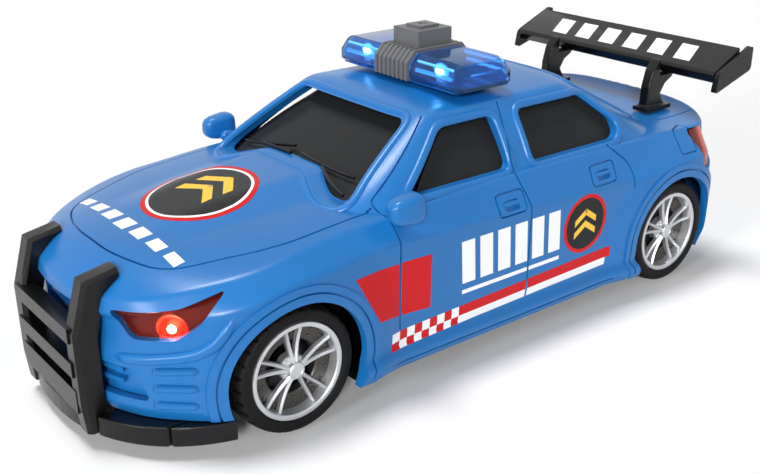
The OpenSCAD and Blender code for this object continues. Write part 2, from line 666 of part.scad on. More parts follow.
// Windows: panels that lie behind the shell's walls and reach past the openings
glass_out = wall + clear;
glass_in = glass_out + glass_t;
glass_steps = 7;
glass_lap_share = 0.07;
glass_level_shares = span(glass_lap_share, 1 - glass_lap_share / 3, 5);
screen_side_share = 0.9;
module windscreen() color("#26282b")
  cabin_panel(span(-screen_side_share, screen_side_share, 2 * glass_steps), glass_level_shares,
  glass_out, glass_in);
module rear_window() color("#26282b") {
  stops_left = span(3 - screen_side_share, 3, glass_steps);
  whole = concat(stops_left, [for (i = [len(stops_left) - 2:-1:0]) -stops_left[i]]);
  cabin_panel(whole, glass_level_shares, glass_out, glass_in);
}
module side_window() color("#26282b")
  cabin_panel(span(screen_side_share + glass_lap_share / 2, 3 - screen_side_share
  - glass_lap_share / 2, glass_steps), glass_level_shares, glass_out, glass_in);

// Wipers: two blades and arms that follow the windscreen
function screen_point(y, z, d) = let (v = (z - cabin_foot_z) / (roof_edge_z - d - cabin_foot_z))
  let (w = mix(cabin_w, roof_w, v) / 2 + cabin_bow * sin(180 * v) - d * slant((cabin_w - roof_w) / 2))
  let (a = asin(min(abs(y) / w, 1) ^ (mix(screen_foot_power_share, screen_head_power_share,
  v) / 2)) / 90) cabin_side(y < 0 ? -a : a, v, d);
wiper_t = 0.9;
wiper_h = 0.3;
wiper_steps = 5;
// Places as shares of the screen's half width and of the cabin's height: pivot, joint, blade ends
wiper_left_shares = [[0.83, 0.19], [0.42, 0.35], [0.04, 0.365], [0.76, 0.355]];
wiper_right_shares = [[-0.06, 0.375], [-0.49, 0.34], [-0.79, 0.26], [-0.13, 0.42]];
function screen_place(share) = [share[0] * screen_foot_half, mix(cabin_foot_z, roof_edge_z, share[1])];
module wiper_strip(from, to, h) {
  line = [for (k = span(0, 1, wiper_steps)) mix(from, to, k)];
  panel([for (rise = [0, h]) [for (p = line) screen_point(p[0], p[1] + rise, wall - wiper_t)]],
    [for (rise = [0, h]) [for (p = line) screen_point(p[0], p[1] + rise, wall)]]);
}
module wiper(shares) color("#141414") {
  at = [for (s = shares) screen_place(s)];
  wiper_strip(at[2], at[1] + [0, wiper_h / 3], wiper_h);
  wiper_strip(at[1] + [-wiper_h, wiper_h / 4], at[3], wiper_h);
  if (at[0][0] < at[1][0]) wiper_strip(at[0], at[1], wiper_h * 2);
  else wiper_strip(at[1], at[0], wiper_h * 2);
}
module wiper_left() wiper(wiper_left_shares);
module wiper_right() wiper(wiper_right_shares);

// Lamp lenses and the nose's two inserts, each behind its opening in the shell
lens_t = 1.2;
lens_out = wall + clear;
insert_t = 1.2;
function nose_stop(y) = asin((y / half_w) ^ (nose_power_share / 2)) / 90;
insert_lap_share = 0.015;
lens_steps = 7;
grille_edge_stop = nose_stop(grille_top_half) + insert_lap_share;
head_lens_end_share = 0.86;
tail_lens_end_shares = [1.985, 2.9];
head_lens_stops = span(grille_edge_stop + insert_lap_share, head_lens_end_share, lens_steps);
head_lens_shares = [0.6, lamp_band_share, 0.73, crease_level_share, nose_lip_share, 0.94, 0.99];
tail_lens_stops = span(tail_lens_end_shares[0], tail_lens_end_shares[1], lens_steps);
tail_lens_shares = [0.56, lamp_band_share, crease_level_share, 0.9, 0.985];
module wheel_room(x) pin([x, wheel_r], 0, body_w, arch_r + well_wall + clear);
module headlight_lens() color("#7a1414") difference() {
  tub_panel(head_lens_stops, head_lens_shares, lens_out, lens_out + lens_t);
  wheel_room(half_base);
}
module taillight_lens() color("#8c1616") difference() {
  tub_panel(tail_lens_stops, tail_lens_shares, lens_out, lens_out + lens_t);
  wheel_room(-half_base);
}
slat_out = 0.7;
intake_lap = 3;
slat_share = 0.035;
grille_level_shares = [0.585, lamp_band_share, 0.73, crease_level_share, nose_lip_share, 0.94];
grille_slat_shares = [0.7, 0.78, 0.86];
intake_level_shares = [0.13, 0.24, 0.36, 0.48, 0.565];
intake_slat_shares = [0.31, 0.4];
module nose_insert(edge, levels, slats, slat_edge) color("#2a63b4") {
  tub_panel(span(-edge, edge, 10), levels, lens_out, lens_out + insert_t);
  for (v = slats) tub_panel(span(-slat_edge, slat_edge, 8), [v, v + slat_share], slat_out, lens_out
    + insert_t / 2);
}
module front_grille() nose_insert(grille_edge_stop, grille_level_shares, grille_slat_shares,
  nose_stop(grille_foot_half - grille_r));
module front_intake() nose_insert(nose_stop(intake_foot_half + intake_lap), intake_level_shares,
  intake_slat_shares, nose_stop(intake_top_half - 2 * grille_r));

// Door mirrors: a pod on a short foot that stands on the shoulder
mirror_set = 1.2;
mirror_x = door_front_x - mirror_set;
mirror_foot_r = 1.6;
mirror_pod_r = 3.4;
mirror_tip_r = 2.8;
mirror_rise = 3.8;
mirror_reach = 3.2;
mirror_sweep = 3;
mirror_level_share = 0.88;
mirror_foot = [mirror_x, half_w - shoulder_tuck * mirror_level_share + clear + mirror_foot_r,
  mix(crease_z(mirror_x), shoulder_z(mirror_x), mirror_level_share) + mirror_foot_r / 2];
module door_mirror() color("#2f6fc4") hull() {
  $fn = 12;
  translate(mirror_foot) sphere(mirror_foot_r);
  translate(mirror_foot + [mirror_sweep / 2, mirror_foot_r, mirror_rise]) sphere(mirror_pod_r);
  translate(mirror_foot + [-mirror_sweep, mirror_foot_r + mirror_reach, mirror_rise
    + mirror_foot_r / 2]) sphere(mirror_tip_r);
}

// Front splitter: a black crescent under the bumper
splitter_reach = 4.4;
splitter_tuck = 0.5;
splitter_w = body_w - 2 * splitter_tuck;
splitter_depth = 13;
splitter_end_gap = 3;
splitter_rear_x = half_base + arch_r - splitter_end_gap;
splitter_z = splitter_top_z - splitter_h;
splitter_seam_y = 39;
splitter_seam_w = 0.7;
splitter_seam_depth = 0.8;
splitter_steps = 24;
function nose_arc(reach, w, steps) =
  [for (i = [-steps:steps]) let (a = abs(i) / steps,
  p = outline(a, w, nose_x + reach, 0, half_base, 0, nose_power_share, 2))
  if (p[0] >= splitter_rear_x) [p[0], sign(i) * p[1]]];
module front_splitter() color("#151515") difference() {
  translate([0, 0, splitter_z]) linear_extrude(splitter_h)
    polygon(concat(nose_arc(splitter_reach, splitter_w / 2, splitter_steps),
    [for (p = [each nose_arc(splitter_reach - splitter_depth, splitter_w / 2 - splitter_depth,
    splitter_steps)]) [p[0], -p[1]]]));
  both_sides() {
    difference() {
      box([half_base, splitter_seam_y, splitter_z - overrun],
        [nose_reach, splitter_seam_w, splitter_h + 2 * overrun]);
      linear_extrude(splitter_top_z - splitter_seam_depth)
        polygon(nose_arc(splitter_reach - splitter_seam_depth, splitter_w / 2
        - splitter_seam_depth, splitter_steps));
    }
    box([nose_x - push_bar_depth, push_bar_w / 2 - upright_w - clear, splitter_z - overrun],
      [push_bar_depth + splitter_reach + overrun, upright_w + 2 * clear, splitter_h + 2 * overrun]);
  }
  both_sides() box([splitter_rear_x - overrun, well_inner_y - well_wall - clear,
    splitter_z - overrun],
      [half_base + arch_r + well_wall + clear - splitter_rear_x + overrun,
        well_depth + well_wall + 2 * clear, splitter_h + 2 * overrun]);
}

// Push bar: two kinked uprights that hook over the bonnet's edge, with cross bars between them
push_bar_depth = 7;
upright_chamfer = 1.2;
upright_foot_gap = 0.6;
upright_foot_z = splitter_z + upright_foot_gap;
upright_front_shares = [[-0.29, 0.9], [-0.1, 0.868], [-0.016, 0.61], [-0.016, 0.24]];
upright_rear_shares = [[-0.29, 0.86], [-0.2, 0.79], [-0.14, 0.59], [-0.14, 0.24]];
function upright_place(s) = [push_bar_x + s[0] * (nose_reach + push_bar_reach), s[1] * shoulder_h];
upright_front = concat([for (s = upright_front_shares) upright_place(s)],
  [[push_bar_x - push_bar_reach / 3, upright_foot_z]]);
upright_rear = concat([for (s = upright_rear_shares) upright_place(s)],
  [[push_bar_x - push_bar_depth, upright_foot_z]]);
function toward(p, q, by) = p + (q - p) / norm(q - p) * by;
bar_upper_share = 0.6;
bar_lower_share = 0.42;
bar_upper_z = shoulder_h * bar_upper_share;
bar_lower_z = shoulder_h * bar_lower_share;
bar_h_share = 0.078;
bar_h = shoulder_h * bar_h_share;
bar_d = 5;
bar_foot_h = 7;
module upright() {
  y0 = push_bar_w / 2 - upright_w;
  for (i = [0:len(upright_front) - 2]) hull() {
    f0 = upright_front[i];
    f1 = upright_front[i + 1];
    r0 = upright_rear[i];
    r1 = upright_rear[i + 1];
    side_extrude(y0 + upright_chamfer, y0 + upright_w - upright_chamfer) polygon([f0, f1, r1, r0]);
    side_extrude(y0, y0 + upright_w)
      polygon([toward(f0, r0, upright_chamfer), toward(f1, r1, upright_chamfer), r1, r0]);
  }
}
module push_bar() color("#151515") difference() {
  union() {
    both_sides() upright();
    for (z = [bar_upper_z, bar_lower_z])
      box([push_bar_x - bar_d - clear, -push_bar_w / 2 + upright_w / 2, z - bar_h / 2],
        [bar_d, push_bar_w - upright_w, bar_h]);
    box([push_bar_x - bar_d - clear, -push_bar_w / 2 + upright_w / 2, splitter_top_z + clear],
      [bar_d - clear, push_bar_w - upright_w, bar_foot_h]);
  }
  tub(-clear);
}

// Light bar on the roof
light_bar_x = -4.5;
light_bar_z = roof_h + seat_gap;
light_base_h = 1.6;
light_base_tuck = 4.5;
lens_mid_share = 0.25;
lens_top_tuck = 5;
lens_end_tuck = 6.5;
lens_wall = 1.4;
wire_slot_l = 8;
wire_slot_w = 6;
slab = 0.2;
lens_z = light_bar_z + light_base_h + seat_gap;
lens_start_y = saddle_w / 2 + clear;
lens_corner = 5;
// A lens half, d millimetres inside its outer face
module light_slab(z, tuck, end_tuck, d) {
  x0 = light_bar_x - light_bar_d / 2 + tuck + d;
  x1 = light_bar_x + light_bar_d / 2 - tuck - d;
  y1 = light_bar_l / 2 - end_tuck - d;
  translate([0, 0, z]) linear_extrude(slab)
    polygon([[x0, lens_start_y + d], [x1, lens_start_y + d], [x1, y1 - lens_corner],
    [x1 - lens_corner, y1], [x0 + lens_corner, y1], [x0, y1 - lens_corner]]);
}
module light_lens_form(d, foot) hull() {
  light_slab(lens_z - foot, 0, 0, d);
  light_slab(lens_z + light_bar_h * lens_mid_share, 0, 0, d);
  light_slab(lens_z + light_bar_h - slab - d, lens_top_tuck, lens_end_tuck, d);
}
module light_bar_lens() color("#2a6fe0") difference() {
  light_lens_form(0, 0);
  light_lens_form(lens_wall, overrun);
}
module light_bar_base() color("#1d4f9c") difference() {
  hull() {
    translate([light_bar_x, 0, light_bar_z + slab / 2])
      cube([light_bar_d - 2 * light_base_tuck, light_bar_l - 2 * light_base_tuck, slab],
      center = true);
    translate([light_bar_x, 0, light_bar_z + light_base_h - slab / 2])
      cube([light_bar_d - lens_corner / 2, light_bar_l - lens_corner, slab], center = true);
  }
  block([light_bar_x, 0, light_bar_z - overrun],
    [wire_slot_l, wire_slot_w, light_base_h + 2 * overrun]);
}
led_r = 2.5;
led_h = 3.4;
led_board = [9, 14, 1];
led_gap = 2;
led_y = lens_start_y + lens_wall + clear + led_board[1] / 2;
module light_bar_leds() color("#e8eef8") for (side = [-1, 1])
  translate([light_bar_x, side * led_y, lens_z]) {
  translate([-led_board[0] / 2, -led_board[1] / 2, 0]) cube(led_board);
  for (y = [-1, 1]) translate([0, y * (led_r + led_gap / 2), led_board[2]]) {
    cylinder(r = led_r, h = led_h);
    translate([0, 0, led_h]) sphere(led_r);
  }
}
// Ribbed saddle with a well for the siren button
saddle_d = 27;
saddle_h = 9.6;
saddle_shoulder_share = 0.62;
saddle_top_tuck = 3.5;
saddle_rib_count = 8;
saddle_rib_depth = 0.7;
saddle_z = light_bar_z + light_base_h + seat_gap;
saddle_top_z = saddle_z + saddle_h;
button_l = 14;
button_w = 12.6;
button_gap = 0.4;
button_rise = 6;
button_wall = 1.2;
well_floor = 1.6;
switch_board_h = 1;
well_floor_z = saddle_z + well_floor;
function saddle_profile(d) = [[light_bar_x - saddle_d / 2 + d, saddle_z],
  [light_bar_x + saddle_d / 2 - d, saddle_z],
  [light_bar_x + saddle_d / 2 - d, saddle_z + saddle_h * saddle_shoulder_share],
  [light_bar_x + saddle_d / 2 - saddle_top_tuck, saddle_top_z - d],
  [light_bar_x - saddle_d / 2 + saddle_top_tuck, saddle_top_z - d],
  [light_bar_x - saddle_d / 2 + d, saddle_z + saddle_h * saddle_shoulder_share]];
module light_bar_saddle() color("#6b6b6b") difference() {
  union() {
    side_extrude(-saddle_w / 2, saddle_w / 2) polygon(saddle_profile(saddle_rib_depth));
    for (i = [0:saddle_rib_count - 1])
      let (pitch = saddle_w / (saddle_rib_count - 0.5), y = i * pitch - saddle_w / 2)
      side_extrude(y, y + pitch / 2) polygon(saddle_profile(0));
  }
  block([light_bar_x, 0, well_floor_z],
    [button_l + 2 * button_gap, button_w + 2 * button_gap, saddle_h]);
  block([light_bar_x, 0, saddle_z - overrun], [wire_slot_l, wire_slot_w, well_floor + 2 * overrun]);
}
button_foot_z = well_floor_z + seat_gap + switch_board_h + button_travel + clear;
button_top_z = saddle_top_z + button_rise;
plate_l = 8;
plate_w = 7;
plate_h = 0.9;
plate_hole_r = 1.6;
plate_hole_depth = 0.7;
stem_r = 1.5;
switch_w = 5;
switch_h = 2.4;
plunger_r = 1;
plunger_h = 0.6;
switch_top_z = well_floor_z + seat_gap + switch_board_h + switch_h + plunger_h;
module siren_button() color("#6b6b6b") {
  difference() {
    union() {
      block([light_bar_x, 0, button_foot_z],
        [button_l, button_w, button_top_z - button_foot_z - plate_h]);
      block([light_bar_x, 0, button_foot_z], [plate_l, plate_w, button_top_z - button_foot_z]);
    }
    block([light_bar_x, 0, button_foot_z - overrun],
      [button_l - 2 * button_wall, button_w - 2 * button_wall,
        button_top_z - button_foot_z - plate_h - button_wall + overrun]);
    translate([light_bar_x, 0, button_top_z - plate_hole_depth])
      cylinder(r = plate_hole_r, h = overrun);
  }
  translate([light_bar_x, 0, switch_top_z + button_travel + seat_gap])
    cylinder(r = stem_r, h = button_top_z - plate_h - switch_top_z - button_travel - seat_gap);
}
module button_switch() color("#2f6b3a") translate([light_bar_x, 0, well_floor_z + seat_gap]) {
  difference() {
    block([0, 0, 0], [button_l - 2 * button_gap, button_w - 2 * button_gap, switch_board_h]);
    for (x = [-1, 1]) translate([x * (button_l / 2 - stem_r), 0, -overrun])
      cylinder(r = plunger_r / 2, h = 2 * overrun);
  }
  box([-switch_w / 2, -switch_w / 2, switch_board_h], [switch_w, switch_w, switch_h]);
  translate([0, 0, switch_board_h + switch_h]) cylinder(r = plunger_r, h = plunger_h);
}
// Return spring under the button, one unbroken coil
spring_r = 4.3;
spring_wire_r = 0.3;
spring_turns = 5;
spring_steps = 10;
spring_sides = 5;
spring_foot_z = well_floor_z + 2 * seat_gap + switch_board_h + spring_wire_r;
spring_top_z = button_top_z - plate_h - button_wall - seat_gap - spring_wire_r;
module button_spring() color("#b8b8b8") {
  n = spring_turns * spring_steps;
  pts = [for (i = [0:n], j = [0:spring_sides - 1])
    let (t = 360 * i / spring_steps, q = 360 * j / spring_sides, r = spring_r + spring_wire_r
    * cos(q)) [light_bar_x + r * cos(t), r * sin(t), mix(spring_foot_z, spring_top_z, i / n)
    + spring_wire_r * sin(q)]];
  skin = [for (i = [0:n - 1], j = [0:spring_sides - 1])
    let (k = (j + 1) % spring_sides, a = i * spring_sides, b = a + spring_sides)
    each [[a + j, b + k, a + k], [a + j, b + j, b + k]]];
  polyhedron(points = pts, faces = concat(skin, [[for (j = [0:spring_sides - 1]) j]],
    [[for (j = [spring_sides - 1:-1:0]) n * spring_sides + j]]));
}

// Rear wing on two swept struts
plate_t = 2.2;
blade_rise = 5.6;
blade_t = 2.2;
blade_lip = 3.2;
endplate_l = 19.6;
wing_front_x = wing_rear_x + endplate_l;
blade_rear_x = wing_front_x - wing_chord;
endplate_shares = [[0.03, -0.322], [-0.05, 0.028], [-1, 0.434], [-1, -0.014]];
endplate_r = 1.6;
module wing_blade() color("#151515")
  side_extrude(-wing_span / 2 + plate_t + seat_gap, wing_span / 2 - plate_t - seat_gap)
  polygon([[wing_front_x, wing_h], [wing_front_x - blade_t / 2, wing_h + blade_t / 2],
  [blade_rear_x, wing_h + blade_rise + blade_t], [blade_rear_x, wing_h + blade_rise + blade_t / 3],
  [wing_front_x - blade_t * 2, wing_h - blade_t / 2],
  [wing_front_x - blade_t * 2, wing_h - blade_lip], [wing_front_x - blade_t, wing_h - blade_lip]]);
module wing_endplate() color("#151515") side_extrude(wing_span / 2 - plate_t, wing_span / 2)
  polygon(rounded([for (s = endplate_shares) [wing_front_x + s[0] * endplate_l, wing_h + s[1]
  * endplate_l]], endplate_r));
strut_y = 25;
strut_w = 4;
strut_foot_w = 7;
strut_foot_h = 1.6;
strut_foot_l = 14;
strut_set = 10;
strut_foot_x = tail_x + strut_set;
strut_foot_z = max(deck_z(strut_foot_x, strut_y - strut_foot_w / 2),
  deck_z(strut_foot_x + strut_foot_l, strut_y - strut_foot_w / 2)) + seat_gap;
strut_shares = [[0.1, 0], [0.9, 0], [0.86, 0.45], [0.74, 0.78], [0.52, 0.97], [0.33, 1], [0.31, 0.9],
  [-0.25, 0.95], [-0.25, 0.78], [-0.05, 0.58], [0.2, 0.48], [0.36, 0.3]];
module wing_strut() color("#151515") {
  difference() {
    translate([0, 0, strut_foot_z]) side_extrude(strut_y - strut_w / 2, strut_y + strut_w / 2)
      polygon([for (s = strut_shares) [strut_foot_x + s[0] * strut_foot_l, s[1]
      * (wing_h + blade_rise / 2 - strut_foot_z)]]);
    side_extrude(strut_y - strut_w, strut_y + strut_w)
      polygon([[wing_front_x + overrun, wing_h - blade_lip - seat_gap],
      [wing_front_x - blade_t * 2 - seat_gap, wing_h - blade_lip - seat_gap],
      [wing_front_x - blade_t * 2 - seat_gap, wing_h - blade_t / 2 - 2 * seat_gap],
      [blade_rear_x, wing_h + blade_rise], [blade_rear_x, wing_h + blade_rise * 3],
      [wing_front_x + overrun, wing_h + blade_rise * 3]]);
  }
  box([strut_foot_x, strut_y - strut_foot_w / 2, strut_foot_z],
    [strut_foot_l, strut_foot_w, strut_foot_h]);
}

// Wheels, drawn with their outer face at height zero and then turned onto the axles
rim_r = rim_d / 2;
rim_seat = 0.02;
tread_depth = 1;
tread_groove = 1;
tread_shoulder = 4;
tyre_crown = 0.8;
tyre_shoulder_r = 2.6;
module at_wheel(x, side) translate([x, side * track_w / 2, wheel_r]) mirror([0, side < 0 ? 1 : 0, 0])
  rotate([-90, 0, 0]) children();
module tyre() color("#181818") difference() {
  rotate_extrude($fn = 96) polygon(rounded([[rim_r + rim_seat, -tyre_w],
    [wheel_r - tyre_crown, -tyre_w], [wheel_r, -tyre_w + tread_shoulder],
    [wheel_r, -tread_shoulder], [wheel_r - tyre_crown, 0], [rim_r + rim_seat, 0]],
    tyre_shoulder_r / 2));
  for (i = [0:tread_count - 1]) rotate(i * 360 / tread_count)
    box([wheel_r - tread_depth, -tread_groove / 2, -tread_shoulder],
      [overrun, tread_groove, tread_shoulder + overrun]);
}
rim_lip = 1.3;
rim_barrel = 1;
rim_depth = 13;
rim_sink = 0.6;
disc_depth = 6.5;
disc_t = 1.6;
disc_hole_r = 0.7;
disc_hole_ring_r = 10.6;
disc_holes = 2 * spoke_count;
hub_r = 3.6;
hub_cap_r = 2.3;
hub_rise = 0.9;
hub_length = 9.5;
spoke_face = 1.4;
spoke_t = 2.6;
spoke_root_share = 0.7;
spoke_root_w = 1.7;
spoke_tip_w = 1.3;
spoke_root_gap = 2.2;
spoke_tip_gap = 6.4;
lug_r = 0.7;
lug_ring_r = 5;
axle_r = axle_d / 2;
axle_end = 4;
module spoke(side) polygon([[hub_r * spoke_root_share, side * spoke_root_gap / 2 - spoke_root_w / 2],
  [rim_r - rim_lip / 2, side * spoke_tip_gap / 2 - spoke_tip_w / 2],
  [rim_r - rim_lip / 2, side * spoke_tip_gap / 2 + spoke_tip_w / 2],
  [hub_r * spoke_root_share, side * spoke_root_gap / 2 + spoke_root_w / 2]]);
module rim() color("#c9ccd0") difference() {
  union() {
    rotate_extrude($fn = 72) {
      polygon([[rim_r - rim_lip, -rim_sink], [rim_r, -rim_sink], [rim_r, -rim_depth],
        [rim_r - rim_barrel, -rim_depth], [rim_r - rim_barrel, -rim_sink - rim_lip * 2],
        [rim_r - rim_lip, -rim_sink - rim_lip]]);
      translate([0, -disc_depth - disc_t]) square([rim_r - rim_barrel / 2, disc_t]);
      translate([0, -hub_length]) square([hub_r, hub_length - spoke_face + hub_rise / 2]);
      translate([0, -spoke_face]) square([hub_cap_r, hub_rise + spoke_face / 2]);
    }
    for (i = [0:spoke_count - 1], side = [-1, 1]) rotate(i * 360 / spoke_count)
      translate([0, 0, -spoke_face - spoke_t]) linear_extrude(spoke_t) spoke(side);
    for (i = [0:spoke_count - 1]) rotate((i + 0.5) * 360 / spoke_count)
      translate([lug_ring_r, 0, -disc_depth - disc_t / 2])
      cylinder(r = lug_r, h = disc_depth + disc_t / 2 - spoke_face - spoke_t, $fn = 16);
  }
  for (i = [0:disc_holes - 1]) rotate((i + 0.5) * 360 / disc_holes)
    translate([disc_hole_ring_r, 0, -disc_depth - disc_t - overrun])
    cylinder(r = disc_hole_r, h = disc_t + 2 * overrun, $fn = 16);
  translate([0, 0, -hub_length - overrun])
    cylinder(r = axle_r + rim_seat, h = hub_length - axle_end + overrun);
}
module axle() rotate([90, 0, 0])
  cylinder(r = axle_r, h = track_w - 2 * axle_end - 2 * clear, center = true);
module front_axle() color("#9a9da1") translate([half_base, 0, wheel_r]) axle();
module rear_axle() color("#9a9da1") translate([-half_base, 0, wheel_r]) axle();

// Friction drive: axle gear, stepped idler and flywheel between two half cases
pressure_angle = 28;
backlash = 0.12;
addendum_share = 0.85;
dedendum_share = 1.2;
flank_steps = 3;
wheel_gear_r = gear_module * wheel_teeth / 2;
pinion_r = gear_module * pinion_teeth / 2;
centre_gap = wheel_gear_r + pinion_r;
first_turn = 50;
second_turn = -5;
idler_at = [-half_base, wheel_r] + centre_gap * [cos(first_turn), sin(first_turn)];
flywheel_at = idler_at + centre_gap * [cos(second_turn), sin(second_turn)];
function involute(angle) = tan(angle) * 180 / PI - angle;
function flank_angle(r, pitch_r, teeth) = let (base_r = pitch_r * cos(pressure_angle)) 90 / teeth
  - backlash / pitch_r * 90 / PI + involute(pressure_angle) - involute(acos(min(base_r / r, 1)));
function gear_outline(teeth) =
  let (pitch_r = gear_module * teeth / 2, base_r = pitch_r * cos(pressure_angle), tip_r = pitch_r
  + gear_module * addendum_share, root_r = pitch_r - gear_module * dedendum_share,
  start_r = max(base_r, root_r)) [for (i = [0:teeth - 1]) let (c = 360 * i / teeth)
  each concat([let (q = c - flank_angle(start_r, pitch_r, teeth)) root_r * [cos(q), sin(q)]],
  [for (k = [0:flank_steps]) let (r = mix(start_r, tip_r, k / flank_steps), q = c
  - flank_angle(r, pitch_r, teeth)) if (r > root_r) r * [cos(q), sin(q)]],
  [for (k = [flank_steps:-1:0]) let (r = mix(start_r, tip_r, k / flank_steps), q = c
  + flank_angle(r, pitch_r, teeth)) if (r > root_r) r * [cos(q), sin(q)]],
  [let (q = c + flank_angle(start_r, pitch_r, teeth)) root_r * [cos(q), sin(q)]])];
gear_w = 4;
lane_gap = 1;
first_lane_y = -6.5;
second_lane_y = first_lane_y + gear_w + lane_gap;
flywheel_y = second_lane_y + gear_w + lane_gap;
flywheel_w = 6;
pin_r = 1;
case_wall = 1.4;
case_gap = 0.5;
case_y0 = first_lane_y - case_gap;
case_y1 = flywheel_y + flywheel_w + case_gap;
case_split_y = second_lane_y + gear_w / 2;
case_x0 = -half_base - wheel_gear_r - gear_module - case_gap;
case_x1 = flywheel_at[0] + flywheel_d / 2 + case_gap;
case_z0 = wheel_r - wheel_gear_r - gear_module - case_gap;
case_z1 = max(idler_at[1] + wheel_gear_r, flywheel_at[1] + flywheel_d / 2) + gear_module + case_gap;
pin_out = case_wall - seat_gap;
module gear(at, turn, teeth, y0, y1) translate([at[0], 0, at[1]]) side_extrude(y0, y1) rotate(turn)
  polygon(gear_outline(teeth));
module pin(at, y0, y1, r) translate([at[0], y0, at[1]]) rotate([-90, 0, 0])
  cylinder(r = r, h = y1 - y0);
module axle_gear() color("#d8d4c4") difference() {
  gear([-half_base, wheel_r], first_turn, wheel_teeth, first_lane_y, first_lane_y + gear_w);
  pin([-half_base, wheel_r], first_lane_y - overrun, first_lane_y + gear_w + overrun, axle_r
    + rim_seat);
}
module idler_gear() color("#d8d4c4") {
  gear(idler_at, first_turn + 180 + 180 / pinion_teeth, pinion_teeth, first_lane_y, second_lane_y);
  gear(idler_at, second_turn, wheel_teeth, second_lane_y, second_lane_y + gear_w);
  pin(idler_at, case_y0 - pin_out, case_y1 + pin_out, pin_r);
}
module flywheel_pinion() color("#d8d4c4") {
  gear(flywheel_at, second_turn + 180 + 180 / pinion_teeth, pinion_teeth, second_lane_y, second_lane_y
    + gear_w);
  pin(flywheel_at, case_y0 - pin_out, case_y1 + pin_out, pin_r);
}
flywheel_web = 1.6;
flywheel_hub_r = 3;
flywheel_rim_w = 3;
module flywheel() color("#8d9094") difference() {
  pin(flywheel_at, flywheel_y, flywheel_y + flywheel_w, flywheel_d / 2);
  difference() {
    pin(flywheel_at, flywheel_y + flywheel_web, flywheel_y + flywheel_w + overrun, flywheel_d / 2
      - flywheel_rim_w);
    pin(flywheel_at, flywheel_y, flywheel_y + flywheel_w + 2 * overrun, flywheel_hub_r);
  }
  pin(flywheel_at, flywheel_y - overrun, flywheel_y + flywheel_w + overrun, pin_r + rim_seat);
}
ear_l = 5;
ear_h = 1.6;
ear_w = 5;
module gearbox_half(y0, y1, open_y0, open_y1, ear_y) color("#3a3d42") difference() {
  union() {
    box([case_x0 - case_wall, y0, case_z0 - case_wall],
      [case_x1 - case_x0 + 2 * case_wall, y1 - y0, case_z1 - case_z0 + 2 * case_wall]);
    for (x = [case_x0 - case_wall - ear_l, case_x1 + case_wall])
      box([x, ear_y, chassis_top_z + seat_gap], [ear_l, ear_w, ear_h]);
  }
  box([case_x0, open_y0, case_z0], [case_x1 - case_x0, open_y1 - open_y0, case_z1 - case_z0]);
  pin([-half_base, wheel_r], y0 - overrun, y1 + overrun, axle_r + run_gap);
  pin(idler_at, y0 - overrun, y1 + overrun, pin_r + run_gap);
  pin(flywheel_at, y0 - overrun, y1 + overrun, pin_r + run_gap);
}
module gearbox_left() gearbox_half(case_split_y, case_y1 + case_wall, case_split_y - overrun, case_y1,
  case_y1 + case_wall - ear_w);
module gearbox_right() gearbox_half(case_y0 - case_wall, case_split_y - seat_gap, case_y0, case_split_y
  + overrun, case_y0 - case_wall);

// Batteries under the floor, with their cover, contacts and the siren's loudspeaker
cell_gap = 0.3;
battery_x = 9;
contact_t = 0.5;
contact_reach = 1.8;
box_l = cell_l + 2 * contact_reach + 2 * contact_t;
box_w = cell_count * (cell_d + cell_gap) + cell_gap;
box_wall = 1.4;
cover_t = 1.4;
cover_lap = 3;
cover_gap = 0.2;
cell_z = chassis_z + cover_t + cell_gap + cell_d / 2;
box_top_z = cell_z + cell_d / 2 + cell_gap;
cell_nub_r = 2.6;
cell_nub_h = 1.2;
function cell_y(i) = (i - (cell_count - 1) / 2) * (cell_d + cell_gap);
module cell() {
  translate([-cell_l / 2, 0, 0]) rotate([0, 90, 0]) cylinder(d = cell_d, h = cell_l - cell_nub_h);
  translate([cell_l / 2 - cell_nub_h, 0, 0]) rotate([0, 90, 0])
    cylinder(r = cell_nub_r, h = cell_nub_h);
}
module batteries() color("#8a7a3a") for (i = [0:cell_count - 1])
  translate([battery_x, cell_y(i), cell_z]) rotate(180 * (i % 2)) cell();
contact_w_share = 0.7;
contact_spring_r = 3;
module battery_contacts() color("#c0c0c0") for (i = [0:cell_count - 1], end = [-1, 1]) {
  w = cell_d * contact_w_share;
  plus = (i % 2 == 0) == (end > 0);
  translate([battery_x + end * (box_l - contact_t - 2 * seat_gap) / 2, cell_y(i), cell_z]) {
    cube([contact_t, w, w], center = true);
    rotate([0, -90 * end, 0]) cylinder(r1 = contact_spring_r, r2 = plus ? pin_r
      : contact_spring_r / 2, h = contact_reach - seat_gap);
  }
}
module battery_cover() color("#1b1b1b") difference() {
  union() {
    block([battery_x, 0, chassis_z],
      [box_l + 2 * cover_lap - 2 * cover_gap, box_w + 2 * cover_lap - 2 * cover_gap, cover_t]);
    translate([cover_screw_x, 0, chassis_z]) cylinder(r = cover_tab_r - cover_gap, h = cover_t);
  }
  translate([cover_screw_x, 0, chassis_z - overrun])
    cylinder(r = screw_r + cover_gap, h = cover_t + 2 * overrun);
  translate([cover_screw_x, 0, chassis_z - overrun])
    cylinder(r = screw_head_r + cover_gap, h = cover_sink + overrun);
  for (i = [1:cover_grips]) box([battery_x + box_l / 2 - i * 2 * cover_grip_w, -box_w / 4,
    chassis_z - overrun], [cover_grip_w, box_w / 2, cover_grip_w / 2 + overrun]);
}
cover_tab_r = 4.4;
cover_tab_out = 1.5;
cover_sink = 0.9;
cover_grips = 4;
cover_grip_w = 1;
cover_screw_x = battery_x - box_l / 2 - cover_lap - cover_tab_out;
screw_r = 1.2;
screw_head_r = 2.4;
screw_head_h = 1.4;
screw_l = 9;
screw_slot_w = 0.7;
screw_slot_depth = 0.7;
screw_slot_share = 0.7;
